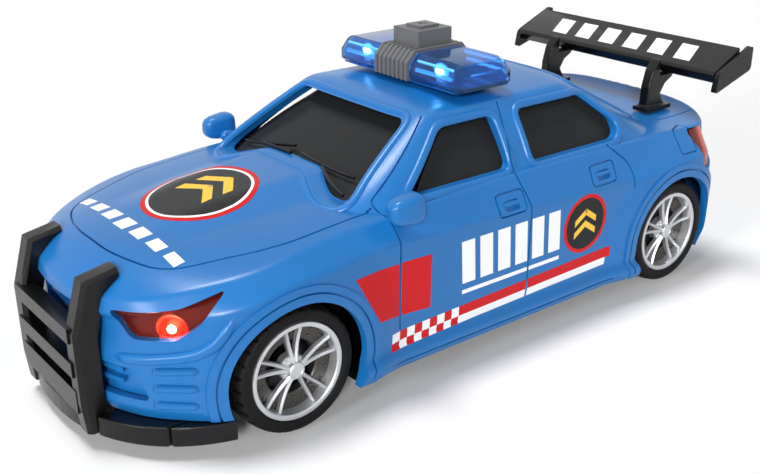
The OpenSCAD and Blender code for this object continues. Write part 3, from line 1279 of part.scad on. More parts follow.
module screw(head_h, length) difference() {
  union() {
    cylinder(r = screw_head_r, h = head_h);
    cylinder(r = screw_r, h = length);
  }
  for (turn = [0, 90]) rotate(turn)
    box([-screw_head_r * screw_slot_share, -screw_slot_w / 2, -overrun],
      [2 * screw_head_r * screw_slot_share, screw_slot_w, overrun + min(screw_slot_depth, head_h / 2)]);
}
screw_sink = 0.3;
module chassis_screws() color("#9a9da1") for (p = post_places)
  translate([p[0], p[1], chassis_z + screw_sink]) screw(screw_head_h, screw_l);
cover_boss_r = 2.6;
cover_boss_h = 8;
module battery_cover_screw() color("#9a9da1") translate([cover_screw_x, 0, chassis_z + screw_sink / 3])
  screw(cover_sink - screw_sink / 3 - seat_gap, screw_l);
speaker_share = 0.7;
speaker_x = half_base * speaker_share;
speaker_h = 3;
magnet_r = 7;
magnet_h = 4;
cone_r_share = 0.8;
module speaker() color("#3c3c40") translate([speaker_x, 0, chassis_top_z + seat_gap]) difference() {
  union() {
    cylinder(d = speaker_d, h = speaker_h);
    translate([0, 0, speaker_h]) cylinder(r = magnet_r, h = magnet_h);
  }
  translate([0, 0, -seat_gap]) cylinder(d1 = speaker_d * cone_r_share, d2 = magnet_r, h = speaker_h
    * cone_r_share);
}
board_l = 46;
board_w = 34;
board_t = 1.2;
board_leg_h = 2.4;
board_leg_r = 1.8;
board_z = box_top_z + box_wall + board_leg_h + seat_gap;
board_part_shares = [[-0.3, -0.25], [0.1, -0.2], [0.3, 0.25], [-0.2, 0.3]];
board_part_sizes = [[9, 7, 2.2], [5, 5, 1.6], [7, 7, 1.2], [12, 5, 3]];
module circuit_board() color("#2f6b3a") translate([battery_x, 0, board_z]) {
  box([-board_l / 2, -board_w / 2, 0], [board_l, board_w, board_t]);
  for (i = [0:len(board_part_sizes) - 1]) let (p = board_part_shares[i], s = board_part_sizes[i])
    translate([p[0] * board_l - s[0] / 2, p[1] * board_w - s[1] / 2, board_t]) cube(s);
}
// Lamp diodes behind the headlight lenses, on short holders
lamp_led_stop_share = 0.5;
lamp_led_level_share = 0.77;
lamp_led_depth = 7;
module headlight_led() {
  p = tub_side(lamp_led_stop_share, lamp_led_level_share, lens_out + lens_t);
  color("#e8eef8") translate(p) rotate([0, 0, lamp_turn]) rotate([0, -90, 0]) {
    translate([0, 0, led_r + clear]) {
      sphere(led_r);
      cylinder(r = led_r, h = led_h);
      translate([0, 0, led_h]) cylinder(r = led_r + clear * 2, h = lamp_led_depth - led_h);
    }
  }
}

// Chassis: floor, wheel wells, axle blocks, battery box and the screw bosses
floor_inset = wall + sill_tuck + clear;
tongue_gap = 2 * clear;
tongue_x = nose_x + splitter_reach - splitter_depth - tongue_gap;
tongue_w = splitter_w / 2 - splitter_depth - tongue_gap;
floor_steps = 10;
well_wall = 1.3;
well_gap = 2.2;
well_depth = 8.5;
well_inner_y = track_w / 2 - tyre_w - well_gap;
well_outer_y = well_inner_y + well_depth;
block_l = 8;
block_w = 4;
block_top = 4.5;
grille_hole_r = 1;
grille_rings = 2;
grille_ring_gap = 4;
function floor_edge() = concat([for (i = [0:floor_steps])
  outline(i / floor_steps, tongue_w, tongue_x, 0, half_base, 0, nose_power_share, 2)],
  [[half_base, half_w - floor_inset]],
  [for (i = [0:floor_steps]) outline(2 + i / floor_steps, half_w - floor_inset, 0, tail_x + wall
  + tail_tuck + clear, 0, tail_x + tail_corner, 2, tail_power_share)]);
module chassis() color("#171717") difference() {
  union() {
    difference() {
      translate([0, 0, chassis_z]) linear_extrude(chassis_t)
        polygon(concat(floor_edge(), [for (p = [for (i = [len(floor_edge()) - 2:-1:1])
        floor_edge()[i]]) [p[0], -p[1]]]));
      both_sides() for (x = [-half_base, half_base])
        box([x - arch_r, well_inner_y, chassis_z - overrun],
          [2 * arch_r, body_w, chassis_t + 2 * overrun]);
    }
    both_sides() for (x = [-half_base, half_base]) {
      well(x);
      box([x - block_l / 2, well_inner_y - well_wall - block_w, chassis_z],
        [block_l, block_w + well_wall / 2, wheel_r - chassis_z + block_top]);
    }
    block([battery_x, 0, chassis_z],
      [box_l + 2 * box_wall, box_w + 2 * box_wall, box_top_z + box_wall - chassis_z]);
    for (x = [-1, 1], y = [-1, 1])
      translate([battery_x + x * (board_l / 2 - board_leg_r), y * (board_w / 2 - board_leg_r),
      box_top_z]) cylinder(r = board_leg_r, h = box_wall + board_leg_h);
    translate([cover_screw_x, 0, chassis_z])
      cylinder(r = cover_boss_r, h = chassis_t + cover_boss_h);
  }
  block([battery_x, 0, chassis_z - overrun], [box_l, box_w, box_top_z - chassis_z + overrun]);
  block([battery_x, 0, chassis_z - overrun],
    [box_l + 2 * cover_lap, box_w + 2 * cover_lap, cover_t + seat_gap + overrun]);
  translate([cover_screw_x, 0, chassis_z - overrun])
    cylinder(r = cover_tab_r, h = cover_t + seat_gap + overrun);
  translate([cover_screw_x, 0, chassis_z - overrun])
    cylinder(r = screw_r + seat_gap, h = screw_l + 2 * overrun);
  box([case_x0 - case_wall - clear, case_y0 - case_wall - clear, chassis_z - overrun],
    [case_x1 - case_x0 + 2 * case_wall + 2 * clear, case_y1 - case_y0 + 2 * case_wall + 2 * clear,
      chassis_t + 2 * overrun]);
  for (x = [-half_base, half_base]) pin([x, wheel_r], -body_w, body_w, axle_r + run_gap);
  for (p = post_places) translate([p[0], p[1], chassis_z - overrun]) {
    cylinder(r = screw_r + clear, h = chassis_t + 2 * overrun);
    cylinder(r = screw_head_r + clear, h = screw_sink + screw_head_h + seat_gap + overrun);
  }
  for (ring = [0:grille_rings], i = [0:max(ring * 6 - 1, 0)])
    translate([speaker_x, 0, chassis_z - overrun]) rotate(ring == 0 ? 0 : i * 60 / ring)
    translate([ring * grille_ring_gap, 0, 0])
    cylinder(r = grille_hole_r, h = chassis_t + 2 * overrun, $fn = 16);
}
module well(x) difference() {
  union() {
    pin([x, wheel_r], well_inner_y - well_wall, well_outer_y, arch_r + well_wall);
  }
  pin([x, wheel_r], well_inner_y, well_outer_y + overrun, arch_r);
  box([x - body_w / 2, 0, -wheel_d], [body_w, body_w, wheel_d + chassis_z]);
}

module placed(side = 1) translate([-frame_shift, 0, 0]) mirror([0, side < 0 ? 1 : 0, 0]) children();
placed() body_shell();
placed() chassis();
placed() front_splitter();
placed() push_bar();
placed() front_grille();
placed() front_intake();
placed() headlight_lens();  // headlight_lens_left
placed(-1) headlight_lens();  // headlight_lens_right
placed() taillight_lens();  // taillight_lens_left
placed(-1) taillight_lens();  // taillight_lens_right
placed() windscreen();
placed() rear_window();
placed() side_window();  // side_window_left
placed(-1) side_window();  // side_window_right
placed() wiper_left();
placed() wiper_right();
placed() door_mirror();  // door_mirror_left
placed(-1) door_mirror();  // door_mirror_right
placed() light_bar_base();
placed() light_bar_lens();  // light_bar_lens_left
placed(-1) light_bar_lens();  // light_bar_lens_right
placed() light_bar_leds();
placed() light_bar_saddle();
placed() siren_button();
placed() button_spring();
placed() button_switch();
placed() circuit_board();
placed() wing_blade();
placed() wing_endplate();  // wing_endplate_left
placed(-1) wing_endplate();  // wing_endplate_right
placed() wing_strut();  // wing_strut_left
placed(-1) wing_strut();  // wing_strut_right
placed() at_wheel(half_base, 1) rim();  // rim_front_left
placed() at_wheel(half_base, -1) rim();  // rim_front_right
placed() at_wheel(-half_base, 1) rim();  // rim_rear_left
placed() at_wheel(-half_base, -1) rim();  // rim_rear_right
placed() at_wheel(half_base, 1) tyre();  // tyre_front_left
placed() at_wheel(half_base, -1) tyre();  // tyre_front_right
placed() at_wheel(-half_base, 1) tyre();  // tyre_rear_left
placed() at_wheel(-half_base, -1) tyre();  // tyre_rear_right
placed() front_axle();
placed() rear_axle();
placed() axle_gear();
placed() idler_gear();
placed() flywheel_pinion();
placed() flywheel();
placed() gearbox_left();
placed() gearbox_right();
placed() batteries();
placed() battery_contacts();
placed() battery_cover();
placed() battery_cover_screw();
placed() speaker();
placed() headlight_led();  // headlight_led_left
placed(-1) headlight_led();  // headlight_led_right
placed() chassis_screws();
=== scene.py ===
"""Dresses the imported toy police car: fine shell, lamps, wheels, stickers, materials and a studio."""
import json
import math

import bmesh
import bpy
import numpy as np
from bpy.props import FloatProperty, FloatVectorProperty, PointerProperty
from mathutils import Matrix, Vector
from mathutils.bvhtree import BVHTree


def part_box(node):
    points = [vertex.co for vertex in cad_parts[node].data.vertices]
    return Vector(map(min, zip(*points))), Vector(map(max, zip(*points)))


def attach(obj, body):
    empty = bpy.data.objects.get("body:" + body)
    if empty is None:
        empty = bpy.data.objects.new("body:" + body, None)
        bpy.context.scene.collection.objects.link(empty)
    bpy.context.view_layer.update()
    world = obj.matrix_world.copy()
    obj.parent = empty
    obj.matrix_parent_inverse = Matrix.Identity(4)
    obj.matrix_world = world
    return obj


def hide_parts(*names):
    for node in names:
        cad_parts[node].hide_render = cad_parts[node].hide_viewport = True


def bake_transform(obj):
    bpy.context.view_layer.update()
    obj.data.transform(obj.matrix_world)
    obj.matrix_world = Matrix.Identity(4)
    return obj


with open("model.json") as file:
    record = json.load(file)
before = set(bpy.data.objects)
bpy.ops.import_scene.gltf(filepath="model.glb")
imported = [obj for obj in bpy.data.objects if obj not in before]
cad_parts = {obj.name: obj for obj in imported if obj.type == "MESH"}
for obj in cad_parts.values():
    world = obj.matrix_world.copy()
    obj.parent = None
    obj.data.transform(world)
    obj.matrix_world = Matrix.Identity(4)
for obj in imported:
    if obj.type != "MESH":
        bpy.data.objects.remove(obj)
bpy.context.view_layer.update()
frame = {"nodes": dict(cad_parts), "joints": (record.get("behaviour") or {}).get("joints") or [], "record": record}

bl_info = {
    "name": "Toy Police Car Dressing",
    "version": (1, 0, 0),
    "blender": (4, 5, 0),
    "location": "View3D > Sidebar > Toy Car",
    "description": "Adds the skin, lamps, wheels, stickers and studio of a toy police car",
    "category": "Object",
}

MM = 0.001
JOINT_AT = {j["name"]: j.get("pos_m") for j in frame["joints"]}
NODES = frame["nodes"]


# Sizes and colours that a user would change

def length(label, text, default):
    """A size in metres."""
    return FloatProperty(name=label, description=text, default=default, min=0.0, precision=5, unit="LENGTH")


def linear(code):
    """An sRGB hex colour as linear red, green, blue and alpha."""
    parts = [int(code[i:i + 2], 16) / 255 for i in (1, 3, 5)]
    return tuple(p / 12.92 if p <= 0.04045 else ((p + 0.055) / 1.055) ** 2.4 for p in parts) + (1.0,)


def colour(label, text, code):
    """A colour that is written as sRGB hex."""
    return FloatVectorProperty(name=label, description=text, default=linear(code), size=4, min=0.0, max=1.0,
                               subtype="COLOR")


class CarSizes(bpy.types.PropertyGroup):
    """Sizes of the skin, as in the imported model."""
    wheelbase: length("Wheelbase", "Distance between the axles", 0.160)
    body_width: length("Body width", "Width along the door crease", 0.101)
    nose_reach: length("Nose reach", "From the front axle to the nose", 0.0465)
    tail_reach: length("Tail reach", "From the rear axle to the tail", 0.032)
    sill_height: length("Sill height", "Underside of the sill above the ground", 0.0084)
    shoulder_height: length("Shoulder height", "Height of the shoulder beside the doors", 0.0565)
    wall: length("Wall", "Thickness of the moulded shell", 0.002)
    roof_height: length("Roof height", "Top of the roof above the ground", 0.0785)
    cabin_width: length("Cabin width", "Width of the cabin at its foot", 0.090)
    roof_width: length("Roof width", "Width of the roof at its edge", 0.063)
    screen_foot: length("Windscreen foot", "How far its foot lies ahead of mid wheelbase", 0.065)
    screen_head: length("Windscreen head", "How far its head lies ahead of mid wheelbase", 0.0225)
    rear_screen_foot: length("Rear window foot", "How far its foot lies behind mid wheelbase", 0.089)
    rear_screen_head: length("Rear window head", "How far its head lies behind mid wheelbase", 0.046)
    wheel_diameter: length("Wheel diameter", "Outside diameter of a tyre", 0.038)
    track: length("Track", "Between the outer faces of the rims", 0.099)
    arch_gap: length("Arch gap", "Gap between a tyre and its arch", 0.0024)
    line_width: length("Panel line width", "Width of the moulded panel lines", 0.0008)
    line_depth: length("Panel line depth", "Depth of the moulded panel lines", 0.0009)


class CarColours(bpy.types.PropertyGroup):
    """Colours of the mouldings and stickers."""
    body: colour("Body", "Blue of the shell", "#196BAF")
    trim: colour("Trim", "Black of the push bar, splitter and wing", "#0A0A0B")
    smoke: colour("Windows", "Smoke of the windows", "#28292A")
    blue_lens: colour("Blue lens", "Tint of the light bar", "#539ADA")
    red_lens: colour("Red lens", "Tint of the head and tail lamps", "#DE5A44")
    silver: colour("Rims", "Metallised silver of the rims", "#C8CACD")
    tyre: colour("Tyres", "Black of the tyres", "#111112")
    grey: colour("Saddle", "Grey of the light bar's saddle and button", "#636466")
    red: colour("Red sticker", "Red of the side stickers", "#C6181D")
    white: colour("White sticker", "White of the stickers", "#F1F2F3")


# Materials

def cleared(block):
    """The empty node tree of a material or world."""
    block.use_nodes = True
    block.node_tree.nodes.clear()
    return block.node_tree


def add_node(tree, kind, settings=(), links=()):
    """Adds one node, sets its sockets or properties and links its inputs."""
    node = tree.nodes.new(kind)
    for key, value in dict(settings).items():
        if key in node.inputs:
            node.inputs[key].default_value = value
        else:
            setattr(node, key, value)
    for key, source in dict(links).items():
        tree.links.new(source, node.inputs[key])
    return node


GRAIN = {"drift_mm": 18.0, "gloss": 0.06, "height_mm": 0.08}


def finish(name, base, roughness, grain_mm, bump, shade=0.06, specular=0.5, glow=None, **shader):
    """A moulded, cast or coated surface: its colour drifts a little, and its grain gives gloss and bump.

    A mould's own grain is about 0.1 mm, too fine to show, and is drawn as coarse as it needs to be.
    """
    known = bpy.data.materials.get(name)
    if known:
        return known
    material = bpy.data.materials.new(name)
    tree = cleared(material)
    place = {"Vector": add_node(tree, "ShaderNodeTexCoord").outputs["Object"]}
    drift = add_node(tree, "ShaderNodeTexNoise", {"Scale": 1 / (GRAIN["drift_mm"] * MM), "Detail": 2.0}, place)
    grain = add_node(tree, "ShaderNodeTexNoise", {"Scale": 1 / (grain_mm * MM), "Detail": 3.0}, place)
    low, high = (tuple(min(1.0, c * k) for c in base[:3]) + (1.0,) for k in (1 - shade, 1 + shade))
    tone = add_node(tree, "ShaderNodeMix", {"data_type": "RGBA", "A": low, "B": high}, {"Factor": drift.outputs["Fac"]})
    least, most = (roughness * k for k in (1 - GRAIN["gloss"], 1 + GRAIN["gloss"]))
    gloss = add_node(tree, "ShaderNodeMapRange", {"To Min": least, "To Max": most}, {"Value": grain.outputs["Fac"]})
    height = add_node(tree, "ShaderNodeBump", {"Strength": bump, "Distance": GRAIN["height_mm"] * MM},
                      {"Height": grain.outputs["Fac"]})
    shader["Specular IOR Level"] = specular
    if glow:
        shader["Emission Color"], shader["Emission Strength"] = linear(glow[0]), glow[1]
    body = add_node(tree, "ShaderNodeBsdfPrincipled", shader,
                    {"Base Color": tone.outputs["Result"], "Roughness": gloss.outputs["Result"],
                     "Normal": height.outputs["Normal"]})
    add_node(tree, "ShaderNodeOutputMaterial", (), {"Surface": body.outputs["BSDF"]})
    return material


def materials():
    """Every finish on the car, by its record slot or its use.

    After the name and colour come roughness, grain in millimetres, bump, drift of shade and specular level.
    """
    c = bpy.context.scene.car_colours
    clear = {"Transmission Weight": 0.92, "IOR": 1.3}
    return {
        # ABS, moulded in colour against a satin mould: broad soft highlights over an even blue
        "body_blue": finish("moulded_blue_abs", c.body, 0.3, 2.2, 0.012, 0.04, 0.38),
        # ABS, moulded in black against a fine spark-eroded mould: a dull sheen along the edges
        "trim_black": finish("moulded_black_abs", c.trim, 0.26, 0.5, 0.06, 0.1, 0.3),
        # Polystyrene, moulded in smoke against a polished mould: dark, with soft reflections
        "window_smoke": finish("polished_smoke_polystyrene", c.smoke, 0.25, 2.5, 0.02, 0.05, 0.05),
        # Clear polystyrene tinted red, polished: deep red where it is thick
        "lamp_red": finish("tinted_red_polystyrene", c.red_lens, 0.08, 2.0, 0.01, 0.05, 0.2, **clear),
        # Clear polystyrene tinted blue, polished: light comes through it
        "lens_blue": finish("tinted_blue_polystyrene", c.blue_lens, 0.08, 2.0, 0.01, 0.05, 0.2, **clear),
        # ABS, moulded in grey: even and satin
        "saddle_grey": finish("moulded_grey_abs", c.grey, 0.45, 0.6, 0.08, 0.06, 0.3),
        # Vacuum-metallised ABS: a bright silver that keeps the mould's grain
        "rim_silver": finish("metallised_silver_abs", c.silver, 0.36, 0.7, 0.05, 0.04, Metallic=0.75),
        # The same film on a deep part, with painted shade: the rims' silver darkened to stand in for the shade it lies
        # in
        "brake_disc": finish("metallised_abs_painted_shade", linear("#4A4845"), 0.4, 0.8, 0.1, 0.1, Metallic=0.7),
        # PVC, moulded soft: matt black with a dusty grain
        "tyre_black": finish("moulded_soft_pvc", c.tyre, 0.6, 0.45, 0.2, 0.15, 0.15),
        # Drawn steel bar and turned steel: grey metal with a fine draw grain
        "steel": finish("drawn_steel", linear("#B4B6B8"), 0.3, 0.4, 0.1, 0.05, Metallic=1.0),
        # Acetal, moulded natural: waxy off-white
        "gear_white": finish("moulded_natural_acetal", linear("#D9D4C5"), 0.4, 0.8, 0.05, 0.03),
        # Coated laminate: a green board under a thin glossy mask
        "board_green": finish("coated_green_laminate", linear("#2C6A3B"), 0.3, 0.6, 0.1, 0.08),
        # Wrapped steel can: a printed film over metal
        "cell_metal": finish("wrapped_steel_can", linear("#8A7A3A"), 0.3, 1.0, 0.04, 0.05, Metallic=0.4),
        # Epoxy, cast over a diode: pale and smooth
        "led_white": finish("cast_epoxy_diode", linear("#C9CCD2"), 0.25, 1.0, 0.02, 0.03),
        # The same epoxy where the diode's chip is lit: it burns out to white
        "lit_diode": finish("lit_epoxy_diode", linear("#F2F6FF"), 0.2, 1.0, 0.02, 0.02, glow=("#FFF6EC", 40.0)),
        # ABS tray, moulded in dark red: a dull backing that deepens the lamp's tint
        "lamp_tray": finish("moulded_dark_red_abs", linear("#5E0C08"), 0.5, 0.9, 0.1, 0.1, 0.2),
        # Metallised dish round a diode, with a painted glow: an even warm emission over the dish stands in for the
        # diode's light on it
        "lamp_dish": finish("metallised_dish_painted_glow", linear("#B8402A"), 0.35, 0.8, 0.03, 0.06, glow=("#FF7040", 0.9)),
        # Frosted polystyrene ribs with a painted glow: an even pale emission stands in for the diode's light they
        # catch; the halo round each diode uses it too
        "bar_ribs": finish("frosted_polystyrene_ribs", linear("#9CC6F2"), 0.5, 0.5, 0.05, 0.05, glow=("#A6D4F7", 1.7)),
        # Vinyl film, printed red and laid on: flat colour with a light gloss and a crisp edge
        "sticker_red": finish("printed_red_vinyl", c.red, 0.35, 1.2, 0.03, 0.04, 0.15),
        # Vinyl film left unprinted: clean white that stays even across the curve
        "sticker_white": finish("printed_white_vinyl", c.white, 0.35, 1.2, 0.03, 0.02, 0.3),
        # Vinyl film, printed black: a flat dark field that dulls the highlights
        "sticker_black": finish("printed_black_vinyl", linear("#131416"), 0.35, 1.2, 0.03, 0.05, 0.2),
        # Vinyl film, printed in warm yellow: plain ink that reads as gold without being metal
        "sticker_gold": finish("printed_yellow_vinyl", linear("#F0C23A"), 0.35, 1.2, 0.03, 0.04, 0.3),
    }


# The skin's formulas, in millimetres from the middle of the wheelbase

SHOULDER_SHARES = ((-2, 1.045), (-1.75, 0.99), (-1.3, 0.98), (-0.6, 0.995), (0, 1), (0.65, 0.965), (1, 0.92),
                   (1.5, 0.85), (2, 0.755))
CREASE_SHARES = ((-2, 0.8), (-1.3, 0.81), (-0.7, 0.79), (0, 0.83), (0.65, 0.855), (1, 0.83), (1.5, 0.74), (2, 0.65))
CENTRE_SHARES = ((-2, 1.09), (-1.78, 1.02), (-1.3, 1), (-0.6, 1.02), (0, 1.02), (0.65, 1.01), (1, 0.975),
                 (1.45, 0.94), (2, 0.9))
BULGE_SHARES = ((0, 0), (0.3, 1), (0.66, 1), (1.1, 0.6), (1.6, 0), (2, 0))
CREASE_LEVEL = 0.8
SIDE_INSETS = ((0, 0.4), (0.05, -1.0), (0.095, -1.2), (0.135, 1.4), (0.2, 0.8), (CREASE_LEVEL, 0), (1, 5.4))
END_INSETS = ((0, 2.6), (0.14, 1.2), (0.2, 0.8), (CREASE_LEVEL, 0), (1, 5.4))
NOSE_INSETS = ((0, 3), (0.14, 0), (0.55, 0.6), (0.66, 2.2), (CREASE_LEVEL, 2.2), (0.88, 0), (1, 0.6))
TAIL_INSETS = ((0, 4), (0.14, 0), (0.55, 0), (0.66, 1.5), (1, 1))
NOSE_POWER, TAIL_POWER, TAIL_CORNER = 2.3, 3.2, 24.0
SPINE_SHARES = (0.45, 0.6)
CROWN_POWER = 3.0
BULGE = {"height": 3.6, "width": 40.0, "nose_width": 26.0, "soft": 14.0, "taper": (0.5, 1.6)}
FLARE = {"out": 1.6, "lip_width": 5.0, "lip_out": 0.6, "fade": 11.0, "start": 0.72, "full": 0.9}
CABIN = {"crown": 1.8, "power": 3.0, "sink": 3.0, "roof_corner": 13.0, "foot_corner": 30.0, "bow": 1.0,
         "foot_power": 2.5, "head_power": 6.0, "rear_power": 3.0}


def mix(a, b, k):
    """The value a share k of the way from a to b."""
    return a + (b - a) * k


def ease(k):
    """A soft step from 0 to 1."""
    k = np.clip(k, 0, 1)
    return k * k * (3 - 2 * k)


def lookup(table, v):
    """A straight-line reading from a table."""
    return np.interp(v, [p[0] for p in table], [p[1] for p in table])


def curve(table, u):
    """A smooth curve through the points of a table."""
    x, y = np.array(table, dtype=float).T
    n = len(x)
    up, down = np.minimum(np.arange(n) + 1, n - 1), np.maximum(np.arange(n) - 1, 0)
    slope = (y[up] - y[down]) / (x[up] - x[down])
    i = np.clip(np.searchsorted(x, u) - 1, 0, n - 2)
    h = x[i + 1] - x[i]
    k = np.clip((u - x[i]) / h, 0, 1)
    return (y[i] * (2 * k**3 - 3 * k**2 + 1) + slope[i] * h * (k**3 - 2 * k**2 + k)
            + y[i + 1] * (3 * k**2 - 2 * k**3) + slope[i + 1] * h * (k**3 - k**2))


def outline(a, width, nose, tail, front, rear, nose_power, tail_power):
    """A rounded plan: a runs from 0 at the nose through 1 and 2 along the side to 3 at the tail."""
    ahead = np.clip(a, 0, 1) * math.pi / 2
    behind = np.clip(3 - a, 0, 1) * math.pi / 2
    x = np.where(a <= 1, mix(front, nose, np.cos(ahead) ** (2 / nose_power)),
                 np.where(a <= 2, mix(front, rear, a - 1), mix(rear, tail, np.cos(behind) ** (2 / tail_power))))
    y = np.where(a <= 1, width * np.sin(ahead) ** (2 / nose_power),
                 np.where(a <= 2, width, width * np.sin(behind) ** (2 / tail_power)))
    return x, y


class Skin:
    """The car's outer skin, worked out from the sizes."""

    def __init__(self, sizes):
        self.base = sizes.wheelbase / 2 / MM
        self.half_w = sizes.body_width / 2 / MM
        self.nose_reach, self.tail_reach = sizes.nose_reach / MM, sizes.tail_reach / MM
        self.nose_x, self.tail_x = self.base + self.nose_reach, -self.base - self.tail_reach
        self.sill, self.shoulder, self.wall = sizes.sill_height / MM, sizes.shoulder_height / MM, sizes.wall / MM
        self.wheel_r = sizes.wheel_diameter / 2 / MM
        self.arch_r = self.wheel_r + sizes.arch_gap / MM
        self.track = sizes.track / MM
        self.roof, self.cabin_w, self.roof_w = (
            v / MM for v in (sizes.roof_height, sizes.cabin_width, sizes.roof_width))
        self.screen = sizes.screen_foot / MM, sizes.screen_head / MM
        self.rear_screen = sizes.rear_screen_foot / MM, sizes.rear_screen_head / MM
        self.spine = self.base + self.nose_reach * SPINE_SHARES[0], -self.base - self.tail_reach * SPINE_SHARES[1]
        self.cabin_foot = self.shoulder - CABIN["sink"]
        self.roof_edge = self.roof - CABIN["crown"]
        self.line_w, self.line_d = sizes.line_width / MM, sizes.line_depth / MM

    def station(self, x):
        """A place along the car: 1 and -1 at the axles, 2 at the nose and -2 at the tail."""
        return np.where(x > self.base, 1 + (x - self.base) / self.nose_reach,
                        np.where(x < -self.base, -1 + (x + self.base) / self.tail_reach, x / self.base))

    def along(self, table, x):
        """A height from a table of shares of the shoulder's height."""
        return self.shoulder * curve(table, self.station(x))

    def flare(self, x, y, z):
        """How far the wall stands out round the wheel arches."""
        reach = self.arch_r + FLARE["lip_width"] + FLARE["fade"]
        near = [ease((reach - np.hypot(x - at, z - self.wheel_r)) / FLARE["fade"]) for at in (self.base, -self.base)]
        side = ease((y / self.half_w - FLARE["start"]) / (FLARE["full"] - FLARE["start"]))
        return FLARE["out"] * np.maximum(*near) * side

    def side(self, a, v, d=0.0):
        """The lower body's wall: v runs from the sill to the shoulder, d is an inset."""
        a, v = np.broadcast_arrays(np.asarray(a, float), np.asarray(v, float))
        b = np.abs(a)
        inset = np.where((b >= 1) & (b <= 2), lookup(SIDE_INSETS, v), lookup(END_INSETS, v))
        x, y = outline(b, self.half_w - inset - d, self.nose_x - lookup(NOSE_INSETS, v) - d,
                       self.tail_x + lookup(TAIL_INSETS, v) + d, self.base, self.tail_x + TAIL_CORNER,
                       NOSE_POWER, TAIL_POWER)
        crease, shoulder = self.along(CREASE_SHARES, x), self.along(SHOULDER_SHARES, x) - d
        z = np.where(v <= CREASE_LEVEL, mix(self.sill, crease, v / CREASE_LEVEL),
                     mix(crease, shoulder, (v - CREASE_LEVEL) / (1 - CREASE_LEVEL)))
        y = y + self.flare(x, y, z)
        return np.stack([x, np.where(a < 0, -y, y), z], axis=-1)

    def bulge(self, x, y):
        """The raised middle of the bonnet."""
        u = self.station(x)
        start, end = BULGE["taper"]
        half = mix(BULGE["width"], BULGE["nose_width"], np.clip((u - start) / (end - start), 0, 1)) / 2
        return BULGE["height"] * curve(BULGE_SHARES, u) * ease((half - np.abs(y)) / BULGE["soft"] + 0.5)

    def top(self, a, s, d=0.0):
        """The bonnet, shoulders and boot lid: s runs from 1 at the shoulder to 0 at the spine."""
        p = self.side(a, 1.0, d)
        px, py, pz = p[..., 0], p[..., 1], p[..., 2]
        c = np.clip(px, self.spine[1], self.spine[0])
        x, y = mix(c, px, s), py * s
        z = mix(pz, self.along(CENTRE_SHARES, c) - d, 1 - s**CROWN_POWER) + self.bulge(x, y)
        return np.stack([x, y, z], axis=-1)

    def cabin_side(self, a, v, d=0.0):
        """The cabin's wall: v runs from its foot to the roof's edge."""
        a, v = np.broadcast_arrays(np.asarray(a, float), np.asarray(v, float))
        rise = self.roof_edge - self.cabin_foot
        slant = lambda run: math.hypot(run, rise) / rise
        corner = mix(CABIN["foot_corner"], CABIN["roof_corner"], v)
        nose = mix(*self.screen, v) - d * slant(self.screen[0] - self.screen[1])
        tail = -mix(*self.rear_screen, v) + d * slant(self.rear_screen[0] - self.rear_screen[1])
        width = (mix(self.cabin_w, self.roof_w, v) / 2 + CABIN["bow"] * np.sin(math.pi * v)
                 - d * slant((self.cabin_w - self.roof_w) / 2))
        x, y = outline(np.abs(a), width, nose, tail, nose - corner, tail + corner,
                       mix(CABIN["foot_power"], CABIN["head_power"], v), CABIN["rear_power"])
        return np.stack([x, np.where(a < 0, -y, y), mix(self.cabin_foot, self.roof_edge - d, v)], axis=-1)

    def cabin_top(self, a, s, d=0.0):
        """The roof: s runs from 1 at its edge to 0 at the spine."""
        p = self.cabin_side(a, 1.0, d)
        c = np.clip(p[..., 0], -self.rear_screen[1] + CABIN["roof_corner"], self.screen[1] - CABIN["roof_corner"])
        z = mix(p[..., 2], self.roof - d, 1 - s ** CABIN["power"])
        return np.stack([mix(c, p[..., 0], s), p[..., 1] * s, z], axis=-1)

    def screen_point(self, y, z, d=0.0):
        """The point of the windscreen's face at a place across it and a height."""
        v = (z - self.cabin_foot) / (self.roof_edge - d - self.cabin_foot)
        edge = self.cabin_side(1.0, v, d)
        power = mix(CABIN["foot_power"], CABIN["head_power"], v)
        a = math.asin(min(abs(y) / edge[1], 1) ** (power / 2)) / (math.pi / 2)
        return self.cabin_side(math.copysign(a, y), v, d)


# Meshes

def stops(front, side, rear):
    """Places round half the car, from the nose to the tail."""
    return np.concatenate([np.linspace(0, 1, front + 1), np.linspace(1, 2, side + 1)[1:],
                           np.linspace(2, 3, rear + 1)[1:]])


def bands(n, m, closed=False):
    """Faces between n rings of m points each; where the form is closed, the last ring joins the first."""
    return [(i * m + j, i * m + (j + 1) % m, (i + 1) % n * m + (j + 1) % m, (i + 1) % n * m + j)
            for i in range(n if closed else n - 1) for j in range(m)]


def caps(n, m):
    """Faces over the first and last of n rings of m points."""
    return [tuple(range(m - 1, -1, -1)), tuple(range((n - 1) * m, n * m))]


def even(rows, count, passes):
    """Meridians at even steps, with their creases softened: rows run from foot to spine."""
    step = np.linalg.norm(np.diff(rows, axis=0), axis=2)
    run = np.vstack([np.zeros(rows.shape[1]), np.cumsum(step, axis=0)])
    out = np.empty((count, rows.shape[1], 3))
    for j in range(rows.shape[1]):
        want = np.linspace(0, run[-1, j], count)
        for k in range(3):
            out[:, j, k] = np.interp(want, run[:, j], rows[:, j, k])
    for _ in range(passes):
        past = out[-2] * (1, -1, 1)
        padded = np.concatenate([out, past[None]])
        out[1:] = (padded[:-2] + 2 * padded[1:-1] + padded[2:]) / 4
    return out


def ring_solid(rows):
    """Vertices and faces of a solid from half rings, closed at the foot and along the spine."""
    rows = np.concatenate([rows, rows[:, -2:0:-1] * (1, -1, 1)], axis=1)
    n, m = rows.shape[:2]
    return rows.reshape(-1, 3), bands(n, m) + caps(n, m)[:1]


CORNER_SHARE = 0.476


